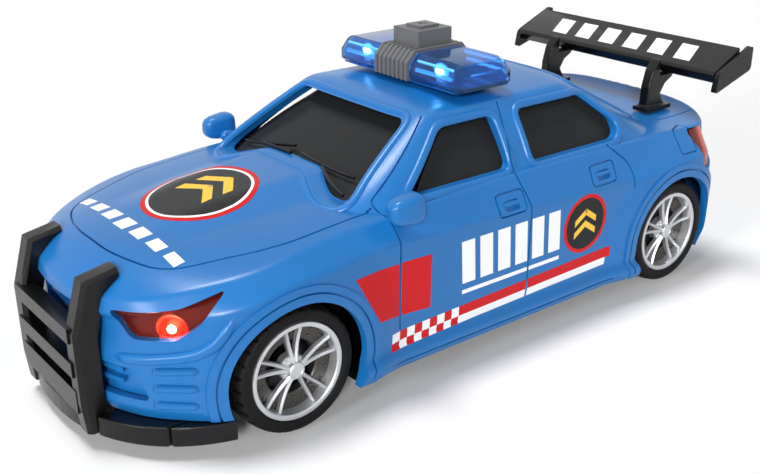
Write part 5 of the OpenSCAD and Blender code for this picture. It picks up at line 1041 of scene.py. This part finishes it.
class CAR_OT_wheels(bpy.types.Operator):
    """Build the rims with their double spokes, and the brake discs behind them"""
    bl_idname = "car.wheels"
    bl_label = "Wheels"

    def execute(self, context):
        s = Skin(context.scene.car_sizes)
        kit = materials()
        fan, root_fan = math.radians(WHEEL["fan_deg"]), math.radians(WHEEL["root_fan_deg"])
        count = WHEEL["spokes"]
        turns = np.radians(90 + 360 / count * np.arange(count))
        spokes = [spoke(turn, side * fan, side * root_fan) for turn in turns for side in (1, -1)]
        lug_at = WHEEL["lug_at"]
        lugs = [dome((lug_at * math.cos(k), WHEEL["lug_y"], lug_at * math.sin(k)), *WHEEL["lug"])
                for k in turns + math.pi / count]
        studs = [dome((r * math.cos(k), WHEEL["stud_y"], r * math.sin(k)), *WHEEL["stud"])
                 for r, n, start in STUD_RINGS for k in start + 2 * math.pi * np.arange(n) / n]
        face = join(lathe(LIP_PROFILE, 96), lathe(HUB_PROFILE, 48), *spokes, *lugs)
        brake, back = join(lathe(DISC_PROFILE, 72), *studs), lathe(BACK_PROFILE, 48)
        for end, x in (("front", s.base), ("rear", -s.base)):
            body = end + "_wheels"
            for hand, side in HANDS:
                node = f"rim_{end}_{hand}"
                centre = np.array([x, side * s.track / 2, s.wheel_r])
                place = lambda form: (form[0] * (1, side, 1) + centre, form[1])
                settle(solid(node, *place(face)), node + "_face", kit["rim_silver"], body, (node,), 28)
                # The disc's darker silver is painted shade on the rims' own film
                settle(solid(node, *place(brake)), node + "_disc", kit["brake_disc"], body, angle=28)
                settle(solid(node, *place(back)), node + "_back", kit["trim_black"], body, angle=28)
        return {"FINISHED"}


# Lamps

TRAY = {"levels": (0.6, 0.985), "deep": (4.6, 5.4)}
DIODE = {"at": (0.52, 0.71), "deep": (3.9, 1.9), "rise": 0.6, "r": 1.2}
DISH_PROFILE = ((0.8, 0.0), (2.4, 0.25), (4.2, 0.9), (4.2, 0.6), (2.4, -0.1), (0.8, -0.4))


class CAR_OT_lamps(bpy.types.Operator):
    """Build the lamp lenses, with a lit diode in each head lamp"""
    bl_idname = "car.lamps"
    bl_label = "Lamps"

    def execute(self, context):
        s = Skin(context.scene.car_sizes)
        kit = materials()
        for hand, side in HANDS:
            for name, lamp in LAMPS.items():
                a, v = side * np.linspace(*lamp["span"], 30)[None], np.linspace(*lamp["levels"], 16)[:, None]
                lens = solid(name, *slab(s.side(a, v, lamp["deep"]), s.side(a, v, lamp["deep"] + 1.0)))
                node = f"{name}_lens_{hand}"
                combine(lens, "INTERSECT", [solid("room", *lamp_prism(s, name, side))])
                settle(lens, node + "_cover", kit["lamp_red"], stands_for=(node,), angle=30)
            # A dark tray with a dish behind each head lamp, whose glow is painted light from the diode, and the diode
            # in it
            a = side * np.linspace(*LAMPS["headlight"]["span"], 20)[None]
            v = np.linspace(*TRAY["levels"], 8)[:, None]
            tray = solid("tray", *slab(*(s.side(a, v, deep) for deep in TRAY["deep"])))
            settle(tray, f"headlight_tray_{hand}", kit["lamp_tray"], angle=30)
            at, ahead = (s.side(side * DIODE["at"][0], DIODE["at"][1], deep) for deep in DIODE["deep"])
            glow = egg(mix(at, ahead, DIODE["rise"]), (DIODE["r"],) * 3, 2.0, 0, 20, 12)
            settle(solid("glow", *glow), f"headlight_glow_{hand}", kit["lit_diode"], angle=60)
            out = (ahead - at) / np.linalg.norm(ahead - at)
            across = np.cross((0, 0, 1), out) / np.linalg.norm(np.cross((0, 0, 1), out))
            up = np.cross(out, across)
            turn = np.linspace(0, 2 * math.pi, 33)[:-1]
            dish = [at + out * h + across * r * math.cos(k) + up * r * math.sin(k)
                    for r, h in DISH_PROFILE for k in turn]
            dish = solid("dish", dish, bands(len(DISH_PROFILE), len(turn), True))
            settle(dish, f"headlight_dish_{hand}", kit["lamp_dish"], angle=60)
        return {"FINISHED"}


# The light bar and its button's spring

LENS_SECTION = ((-1, 0.12), (-0.9, 0), (0.9, 0), (1, 0.12), (1, 0.52), (0.8, 0.86), (0.7, 0.95), (-0.7, 0.95),
                (-0.8, 0.86), (-1, 0.52))
LENS_ENDS = ((0, 1, 1), (0.8, 1, 1), (0.9, 0.97, 0.93), (0.965, 0.9, 0.78), (1, 0.8, 0.64))
LENS = {"wall": 1.0, "inside": (0.94, 0.012), "rib_levels": (0.4, 0.68), "rib_span": (0.06, 0.82), "rib_inset": 1.5,
        "shoulder": 0.52, "shoulder_inset": 0.9, "diode": (0.68, 0.46, 0.5), "glow": (0.8, 1.6, 1.5),
        "frost": (0.5, 3.6, 2.4), "painted_halo_back": 0.9, "chip": (2.2, 2.4, 2.4), "chip_back": 2.6, "chip_level": 0.3,
        "chip_power": 6.0}
RIB_SECTION = ((-0.4, -0.45), (0, -0.2), (0, 0.2), (-0.4, 0.45), (-0.9, 0))
SPRING = {"turns": 5, "steps": 24, "sides": 8, "wire_r": 0.25}


def node_box(node):
    """A CAD node's corners, in millimetres about mid wheelbase."""
    return (np.array(c) / MM + (frame_shift(), 0, 0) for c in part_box(node))


class CAR_OT_light_bar(bpy.types.Operator):
    """Build the light bar's lenses, with ribs and a lit diode in each, and a painted glow on the ribs and in a halo
    round each diode
    """
    bl_idname = "car.light_bar"
    bl_label = "Light bar"

    def execute(self, context):
        kit = materials()
        forms, glow = [], []
        for hand, side in HANDS:
            node = f"light_bar_lens_{hand}"
            low, high = node_box(node)
            middle, half, tall = (low[0] + high[0]) / 2, (high[0] - low[0]) / 2, high[2] - low[2]
            root, tip = (low[1], high[1]) if side > 0 else (high[1], low[1])
            place = lambda k, wide, rise, d: [
                (middle + u * (half * wide - d), mix(root, tip, k), low[2] + d + w * (tall * rise - 2 * d))
                for u, w in LENS_SECTION]
            cover = solid(node, *bar([place(k, wide, rise, 0) for k, wide, rise in LENS_ENDS]))
            length_share, start = LENS["inside"]
            inside = bar([place(k * length_share + start, wide, rise, LENS["wall"]) for k, wide, rise in LENS_ENDS])
            combine(cover, "DIFFERENCE", [solid("inside", *inside)])
            settle(cover, node + "_cover", kit["lens_blue"], stands_for=(node,), angle=24)
            ribs = []
            for way in (1, -1):
                for level in LENS["rib_levels"]:
                    inset = LENS["rib_inset"] + (LENS["shoulder_inset"] if level > LENS["shoulder"] else 0)
                    x, z = middle + way * (half - inset), low[2] + level * tall
                    ribs.append(bar([[(x + u * way, mix(root, tip, k), z + w) for u, w in RIB_SECTION]
                                     for k in LENS["rib_span"]]))
            ahead, along, rise = LENS["diode"]
            at = np.array([middle + half * ahead, mix(root, tip, along), low[2] + tall * rise])
            glow.append(egg(at, LENS["glow"], 2.0, 0, 20, 12))
            # A thin pale egg behind the diode in the ribs' finish: a painted glow, a halo of the diode's light
            ribs.append(egg(at - (LENS["painted_halo_back"], 0, 0), LENS["frost"], 2.0, 0, 24, 12))
            settle(solid("ribs", *join(*ribs)), f"light_bar_ribs_{hand}", kit["bar_ribs"], angle=30)
            chip_at = (at[0] - LENS["chip_back"], at[1], low[2] + tall * LENS["chip_level"])
            forms.append(egg(chip_at, LENS["chip"], LENS["chip_power"], 0, 20, 12))
        settle(solid("diodes", *join(*forms)), "light_bar_diodes", kit["led_white"],
               stands_for=("light_bar_leds",), angle=50)
        settle(solid("glow", *join(*glow)), "light_bar_glow", kit["lit_diode"], angle=60)
        return {"FINISHED"}


class CAR_OT_spring(bpy.types.Operator):
    """Wind the siren button's spring at its rest length; it does not shorten with the button"""
    bl_idname = "car.spring"
    bl_label = "Button spring"

    def execute(self, context):
        node, wire = "button_spring", SPRING["wire_r"]
        low, high = node_box(node)
        middle, radius = (low + high) / 2, (high[0] - low[0]) / 2 - wire
        along = np.linspace(0, 1, SPRING["turns"] * SPRING["steps"] + 1)
        turn = 2 * math.pi * SPRING["turns"] * along
        out = np.stack([np.cos(turn), np.sin(turn), 0 * turn], axis=1)
        line = out * radius + (middle[0], middle[1], 0)
        line[:, 2] = mix(low[2] + wire, high[2] - wire, along)
        coil = solid(node, *sweep(line, out, circle(wire, SPRING["sides"])))
        settle(coil, "button_spring_coil", materials()["steel"], None, (node,), 60)
        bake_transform(coil)
        return {"FINISHED"}


# Wipers and mirrors

WIPERS = {"left": ((0.86, 0.19), (0.42, 0.35), (0.02, 0.365), (0.78, 0.33)),
          "right": ((-0.06, 0.36), (-0.49, 0.34), (-0.80, 0.26), (-0.13, 0.40))}
WIPER_SECTION = ((-0.5, -0.3), (-0.5, 0.2), (-0.2, 0.4), (0.2, 0.4), (0.5, 0.2), (0.5, -0.3))
WIPER_ARM, WIPER_RUBBER = (1.1, 1.1), (0.8, 1.7)
MIRROR_POD = {"ahead": 0.8, "out": 0.14, "up": 0.12, "size": (1.1, 0.84, 1.12), "power": 3.4, "taper": 0.3}
MIRROR_FOOT = {"back": 0.1, "in": 0.55, "level": 0.52, "size": (0.5, 0.45, 0.5), "power": 2.4, "taper": 0.2}


class CAR_OT_wipers(bpy.types.Operator):
    """Lay two thin wipers on the windscreen"""
    bl_idname = "car.wipers"
    bl_label = "Wipers"

    def execute(self, context):
        s = Skin(context.scene.car_sizes)
        for name, shares in WIPERS.items():
            places = [np.array((y * SCREENS["corner_y"], cabin_level(s, z))) for y, z in shares]
            forms = []
            for (start, end), (width, deep) in ((places[:2], WIPER_ARM), (places[2:], WIPER_RUBBER)):
                run = [mix(start, end, k) for k in np.linspace(0, 1, 14)]
                line, over = (np.array([s.screen_point(y, z, d) for y, z in run]) for d in (deep, deep - 0.5))
                normal = (over - line) / np.linalg.norm(over - line, axis=1)[:, None]
                forms.append(sweep(line, normal, [(u * width, w) for u, w in WIPER_SECTION]))
            settle(solid(name, *join(*forms)), f"wiper_{name}_arm", materials()["trim_black"],
                   stands_for=(f"wiper_{name}",), angle=30)
        return {"FINISHED"}


class CAR_OT_mirrors(bpy.types.Operator):
    """Build the two rounded door mirrors"""
    bl_idname = "car.mirrors"
    bl_label = "Door mirrors"

    def execute(self, context):
        for hand, side in HANDS:
            node = f"door_mirror_{hand}"
            low, high = node_box(node)
            middle, half = (low + high) / 2, (high - low) / 2
            size, foot_size = MIRROR_POD, MIRROR_FOOT
            at = middle + (size["ahead"], side * half[1] * size["out"], half[2] * size["up"])
            pod = egg(at, half * size["size"], size["power"], size["taper"])
            at = (middle[0] - half[0] * foot_size["back"], middle[1] - side * half[1] * foot_size["in"],
                  low[2] + half[2] * foot_size["level"])
            foot = egg(at, half * foot_size["size"], foot_size["power"], foot_size["taper"])
            piece = combine(solid(node, *pod), "UNION", [solid("foot", *foot)])
            settle(piece, node + "_pod", materials()["body_blue"], stands_for=(node,), angle=40)
        return {"FINISHED"}


# Stickers, as (x, z) on the doors and (x, y) on the bonnet and wing

FILM = {"lift": 0.05, "sink": 0.1, "step": 0.8, "ring_step": 1.2}
DOOR_CUTS = (45.2, -7.0)
STRIPES = {"front": 22.0, "red_end": -46.5, "white_end": -44.5, "red_low": (18.2, 0.021), "red_high": (21.6, 0.027),
           "white_low": (15.5, 0.02)}
CHECK_EDGES = (22.0, 24.9, 27.8, 30.7, 33.6, 36.5, 39.4, 42.3, 45.2, 48.4)
DOOR_PANELS = ((((53.4, 26.4), (45.65, 25.6)), ((62.0, 42.2), (45.65, 42.0))),
               (((44.75, 25.409), (33.6, 24.6)), ((44.75, 42.2), (33.6, 41.8))))
DOOR_BARS = {"count": 6, "start": 21.5, "pitch": 7.4, "width": 5.2, "slant": 0.5, "levels": (28.4, 42.4)}
DOOR_RULE = {"span": (21.0, -21.2), "levels": (24.9, 26.2)}
DOOR_ROUNDEL = {"at": (-32.8, 34.5), "disc": 9.1, "ring": (8.9, 10.2), "chevrons": (31.2, 35.4), "reach": 5,
                "ends": (2.2, -1.2, 4.4, 1.0)}
BONNET_ROUNDEL = {"at": (80.0, 0.0), "disc": 15.2, "white": (15.0, 16.0), "red": (15.9, 17.4), "chevrons": (72.0, 79.0),
                  "reach": 8, "ends": (-3.4, 1.6, 0, 5)}
BONNET_CHECKS = {"count": 7, "first": -27, "pitch": 9, "half": 3, "low": 101.5, "high": 106.5, "bow": 0.06}
WING_BARS = {"span": (-30, 30), "count": 6, "edges": ((-109.5, -4.6, 2.6), (-101.5, -2.6, 4.6))}
CHEVRON_LIFT = 0.09


def quad(tree, carry, edge_low, edge_high, lift=FILM["lift"], step=FILM["step"]):
    """A thin film on the skin between two edges, each a list of two ends."""
    (a, b), (c, d) = np.array(edge_low, float), np.array(edge_high, float)
    cols = max(2, int(np.linalg.norm(b - a) / step) + 1)
    rows = max(2, int(np.linalg.norm(c - a) / step) + 1)
    grid = [mix(mix(a, b, u), mix(c, d, u), w) for w in np.linspace(0, 1, rows) for u in np.linspace(0, 1, cols)]
    points, normals = (np.array(v).reshape(rows, cols, 3) for v in carry(tree, grid))
    return slab(points + normals * lift, points - normals * FILM["sink"])


def ring_film(tree, carry, at, inner, outer, lift, count=64):
    """A thin round film, or a disc where the inner radius is zero."""
    radii = np.linspace(max(inner, 0.02), outer, max(3, int((outer - inner) / FILM["ring_step"]) + 2))
    turn = np.linspace(0, 2 * math.pi, count + 1)[:-1]
    grid = [(at[0] + r * math.cos(k), at[1] + r * math.sin(k)) for r in radii for k in turn]
    points, normals = (np.array(v).reshape(len(radii), count, 3) for v in carry(tree, grid))
    rows = np.concatenate([points + normals * lift, (points - normals * FILM["sink"])[::-1]])
    return rows.reshape(-1, 3), bands(len(rows), count, True)


def beside(x_from, x_to, low, high, gap=0.45):
    """A film's span, parted where it crosses door lines: ends of its low and high edges."""
    places = sorted([c for c in DOOR_CUTS if min(x_from, x_to) < c < max(x_from, x_to)], reverse=True)
    starts = [x_from] + [c - gap for c in places]
    ends = [c + gap for c in places] + [x_to]
    return [(((a, low(a)), (b, low(b))), ((a, high(a)), (b, high(b)))) for a, b in zip(starts, ends)]


def sloped(start, fall):
    """A height that falls towards the front of the car."""
    return lambda x: start - x * fall


def lay(groups, prefix, suffix=""):
    """Makes one piece of each colour's films."""
    for label, films in groups.items():
        film = materials()["sticker_" + label]
        settle(solid(label, *join(*films)), f"{prefix}_sticker_{label}{suffix}", film, angle=30)


def door_films(tree, carry):
    """The films on one flank, by colour."""
    red_low, red_high, white_low = (sloped(*STRIPES[name]) for name in ("red_low", "red_high", "white_low"))
    film = lambda low, high, **more: quad(tree, carry, low, high, **more)
    red = [film(*span) for span in beside(STRIPES["front"], STRIPES["red_end"], red_low, red_high)]
    white = [film(*span) for span in beside(STRIPES["front"], STRIPES["white_end"], white_low, red_low)]
    for i, (x0, x1) in enumerate(zip(CHECK_EDGES, CHECK_EDGES[1:])):
        for row, (low, high) in enumerate(((white_low, red_low), (red_low, red_high))):
            (red, white)[(i + row) % 2].extend(film(*span) for span in beside(x1, x0, low, high, 0.4))
    # The red panel behind the front arch, parted at the door line
    red += [film(low, high, step=1.0) for low, high in DOOR_PANELS]
    # Slanted bars over a thin rule
    (low, high), width, slant = DOOR_BARS["levels"], DOOR_BARS["width"], DOOR_BARS["slant"]
    for i in range(DOOR_BARS["count"]):
        x = DOOR_BARS["start"] - i * DOOR_BARS["pitch"]
        white.append(film(((x - slant, low), (x - slant - width, low)), ((x + slant, high), (x + slant - width, high))))
    low, high = (sloped(level, 0) for level in DOOR_RULE["levels"])
    white += [film(*span) for span in beside(*DOOR_RULE["span"], low, high)]
    # A roundel with two chevrons on the rear door
    at, reach, ends = DOOR_ROUNDEL["at"], DOOR_ROUNDEL["reach"], DOOR_ROUNDEL["ends"]
    red.append(ring_film(tree, carry, at, *DOOR_ROUNDEL["ring"], 0.06))
    black = [ring_film(tree, carry, at, 0, DOOR_ROUNDEL["disc"], 0.05)]
    gold = [film(((at[0], z + ends[0]), (at[0] + way * reach, z + ends[1])),
                 ((at[0], z + ends[2]), (at[0] + way * reach, z + ends[3])), lift=CHEVRON_LIFT)
            for z in DOOR_ROUNDEL["chevrons"] for way in (1, -1)]
    return {"red": red, "white": white, "black": black, "gold": gold}


def bonnet_films(tree):
    """The films on the bonnet, by colour."""
    at, reach, ends = BONNET_ROUNDEL["at"], BONNET_ROUNDEL["reach"], BONNET_ROUNDEL["ends"]
    black = [ring_film(tree, on_top, at, 0, BONNET_ROUNDEL["disc"], 0.05)]
    white = [ring_film(tree, on_top, at, *BONNET_ROUNDEL["white"], 0.06)]
    red = [ring_film(tree, on_top, at, *BONNET_ROUNDEL["red"], 0.07)]
    gold = [quad(tree, on_top, ((x + ends[0], 0), (x + ends[1], way * reach)),
                 ((x + ends[2], 0), (x + ends[3], way * reach)), CHEVRON_LIFT)
            for x in BONNET_ROUNDEL["chevrons"] for way in (1, -1)]
    low, half = BONNET_CHECKS["low"], BONNET_CHECKS["half"]
    for i in range(BONNET_CHECKS["count"]):
        y = BONNET_CHECKS["first"] + i * BONNET_CHECKS["pitch"]
        high = BONNET_CHECKS["high"] - abs(y) * BONNET_CHECKS["bow"]
        white.append(quad(tree, on_top, ((low, y - half), (low, y + half)), ((high, y - half), (high, y + half))))
    return {"black": black, "white": white, "red": red, "gold": gold}


class CAR_OT_stickers(bpy.types.Operator):
    """Lay plain stripes, checks, bars and roundels on the doors, bonnet and wing"""
    bl_idname = "car.stickers"
    bl_label = "Stickers"

    def execute(self, context):
        tree = skin_tree(bpy.data.objects["shell"])
        for hand, side in HANDS:
            lay(door_films(tree, lambda tree, grid: on_side(tree, grid, side)), "door", "_" + hand)
        lay(bonnet_films(tree), "bonnet")
        blade = skin_tree(NODES["wing_blade"])
        bars = [quad(blade, on_top, *([(x, y + start), (x, y + end)] for x, start, end in WING_BARS["edges"]))
                for y in np.linspace(*WING_BARS["span"], WING_BARS["count"])]
        lay({"white": bars}, "wing")
        return {"FINISHED"}


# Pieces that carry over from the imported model

BEVELS = {"push_bar": 0.6, "front_splitter": 0.5, "wing_blade": 0.4, "wing_endplate_left": 0.7,
          "wing_endplate_right": 0.7, "wing_strut_left": 0.6, "wing_strut_right": 0.6, "light_bar_saddle": 0.25,
          "siren_button": 0.8, "light_bar_base": 0.4}
WHEEL_BEVEL = 0.15


class CAR_OT_carried(bpy.types.Operator):
    """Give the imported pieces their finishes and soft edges"""
    bl_idname = "car.carried"
    bl_label = "Carried pieces"

    def execute(self, context):
        kit = materials()
        slots = {p["node"]: p["material_slot"] for p in frame["record"]["subparts"]}
        for node in NODES:
            if not NODES[node].hide_render:
                dress(node, kit[slots[node]], BEVELS.get(node, WHEEL_BEVEL if node.startswith("tyre") else 0.0))
        return {"FINISHED"}


# The studio: distant soft lights (name, place, spread in degrees, strength), floor, background and camera

STUDIO_LIGHTS = (("key_light", (1.6, 1.75, 0.95), 12.0, 2.2), ("top_light", (0.2, -0.4, 2.4), 18.0, 2.1),
                 ("front_light", (2.4, 0.5, 0.7), 11.0, 1.1))
FLOOR = {"half": 6.0, "colour": "#F1F1F1", "lift": 0.02}
SKY = {"light": 0.1, "seen": 1.0}
CAMERA = {"at": (0.20825, 0.2599, 0.1634), "turn": 141.3, "rise": 22.9, "lens": 49.61, "sensor": 36.0,
          "near": 0.01, "image": (760, 474), "centre": (394.8, 239.6)}


def seen_rays(tree):
    """One for rays from the camera, from reflections and through clear pieces, else zero."""
    path = add_node(tree, "ShaderNodeLightPath").outputs
    total = path["Is Camera Ray"]
    for name in ("Is Glossy Ray", "Is Transmission Ray"):
        pair = add_node(tree, "ShaderNodeMath", {"operation": "MAXIMUM"}, {0: total, 1: path[name]})
        total = pair.outputs[0]
    return total


class CAR_OT_stage(bpy.types.Operator):
    """Set up the floor, the studio light and the camera"""
    bl_idname = "car.stage"
    bl_label = "Stage"

    def execute(self, context):
        scene = context.scene
        scene.view_settings.view_transform = "Standard"
        half = FLOOR["half"]
        mesh = bpy.data.meshes.new("studio_floor")
        mesh.from_pydata([(-half, -half, 0), (half, -half, 0), (half, half, 0), (-half, half, 0)], [], [(0, 1, 2, 3)])
        floor = bpy.data.objects.new("studio_floor", mesh)
        scene.collection.objects.link(floor)
        # Pale studio sheet: it reads as white, and keeps the shadow
        sheet = bpy.data.materials.new("pale_studio_sheet")
        tree = cleared(sheet)
        lift = add_node(tree, "ShaderNodeMapRange", {"To Min": 0.0, "To Max": FLOOR["lift"]},
                        {"Value": seen_rays(tree)})
        matt = add_node(tree, "ShaderNodeBsdfDiffuse", {"Color": linear(FLOOR["colour"])})
        glow = add_node(tree, "ShaderNodeEmission", {"Color": linear("#FFFFFF")}, {"Strength": lift.outputs["Result"]})
        both = add_node(tree, "ShaderNodeAddShader", (), {0: matt.outputs[0], 1: glow.outputs[0]})
        add_node(tree, "ShaderNodeOutputMaterial", (), {"Surface": both.outputs[0]})
        mesh.materials.append(sheet)
        scene.world = bpy.data.worlds.new("studio")
        tree = cleared(scene.world)
        level = add_node(tree, "ShaderNodeMapRange", {"To Min": SKY["light"], "To Max": SKY["seen"]},
                         {"Value": seen_rays(tree)})
        sky = add_node(tree, "ShaderNodeBackground", {"Color": linear("#FFFFFF")},
                       {"Strength": level.outputs["Result"]})
        add_node(tree, "ShaderNodeOutputWorld", (), {"Surface": sky.outputs[0]})
        for name, at, spread, strength in STUDIO_LIGHTS:
            light = bpy.data.lights.new(name, "SUN")
            light.angle, light.energy = math.radians(spread), strength
            lamp = bpy.data.objects.new(name, light)
            lamp.location = at
            lamp.rotation_euler = (-Vector(at)).to_track_quat("-Z", "Y").to_euler()
            scene.collection.objects.link(lamp)
        turn, rise = math.radians(CAMERA["turn"]), math.radians(CAMERA["rise"])
        back = Vector((math.sin(turn) * math.cos(rise), -math.cos(turn) * math.cos(rise), math.sin(rise)))
        (wide, tall), centre = CAMERA["image"], CAMERA["centre"]
        data = bpy.data.cameras.new("photo_camera")
        data.sensor_width, data.lens, data.clip_start = CAMERA["sensor"], CAMERA["lens"], CAMERA["near"]
        data.shift_x, data.shift_y = (wide / 2 - centre[0]) / wide, (centre[1] - tall / 2) / wide
        camera = bpy.data.objects.new("photo_camera", data)
        camera.location = CAMERA["at"]
        camera.rotation_euler = (-back).to_track_quat("-Z", "Y").to_euler()
        scene.collection.objects.link(camera)
        scene.camera = camera
        return {"FINISHED"}


OPERATORS = (CAR_OT_stage, CAR_OT_shell, CAR_OT_windows, CAR_OT_wheels, CAR_OT_lamps, CAR_OT_light_bar, CAR_OT_spring,
             CAR_OT_wipers, CAR_OT_mirrors, CAR_OT_stickers, CAR_OT_carried)


class CAR_PT_dressing(bpy.types.Panel):
    """Lists the steps that dress the car"""
    bl_label = "Toy Police Car"
    bl_idname = "CAR_PT_dressing"
    bl_space_type = "VIEW_3D"
    bl_region_type = "UI"
    bl_category = "Toy Car"

    def draw(self, context):
        for step in OPERATORS:
            self.layout.operator(step.bl_idname)


CLASSES = (CarSizes, CarColours) + OPERATORS + (CAR_PT_dressing,)


def register():
    for kind in CLASSES:
        bpy.utils.register_class(kind)
    bpy.types.Scene.car_sizes = PointerProperty(type=CarSizes)
    bpy.types.Scene.car_colours = PointerProperty(type=CarColours)


def unregister():
    del bpy.types.Scene.car_colours
    del bpy.types.Scene.car_sizes
    for kind in reversed(CLASSES):
        bpy.utils.unregister_class(kind)


def main():
    register()
    for step in OPERATORS:
        group, name = step.bl_idname.split(".")
        getattr(getattr(bpy.ops, group), name)()


if __name__ == "__main__":
    main()
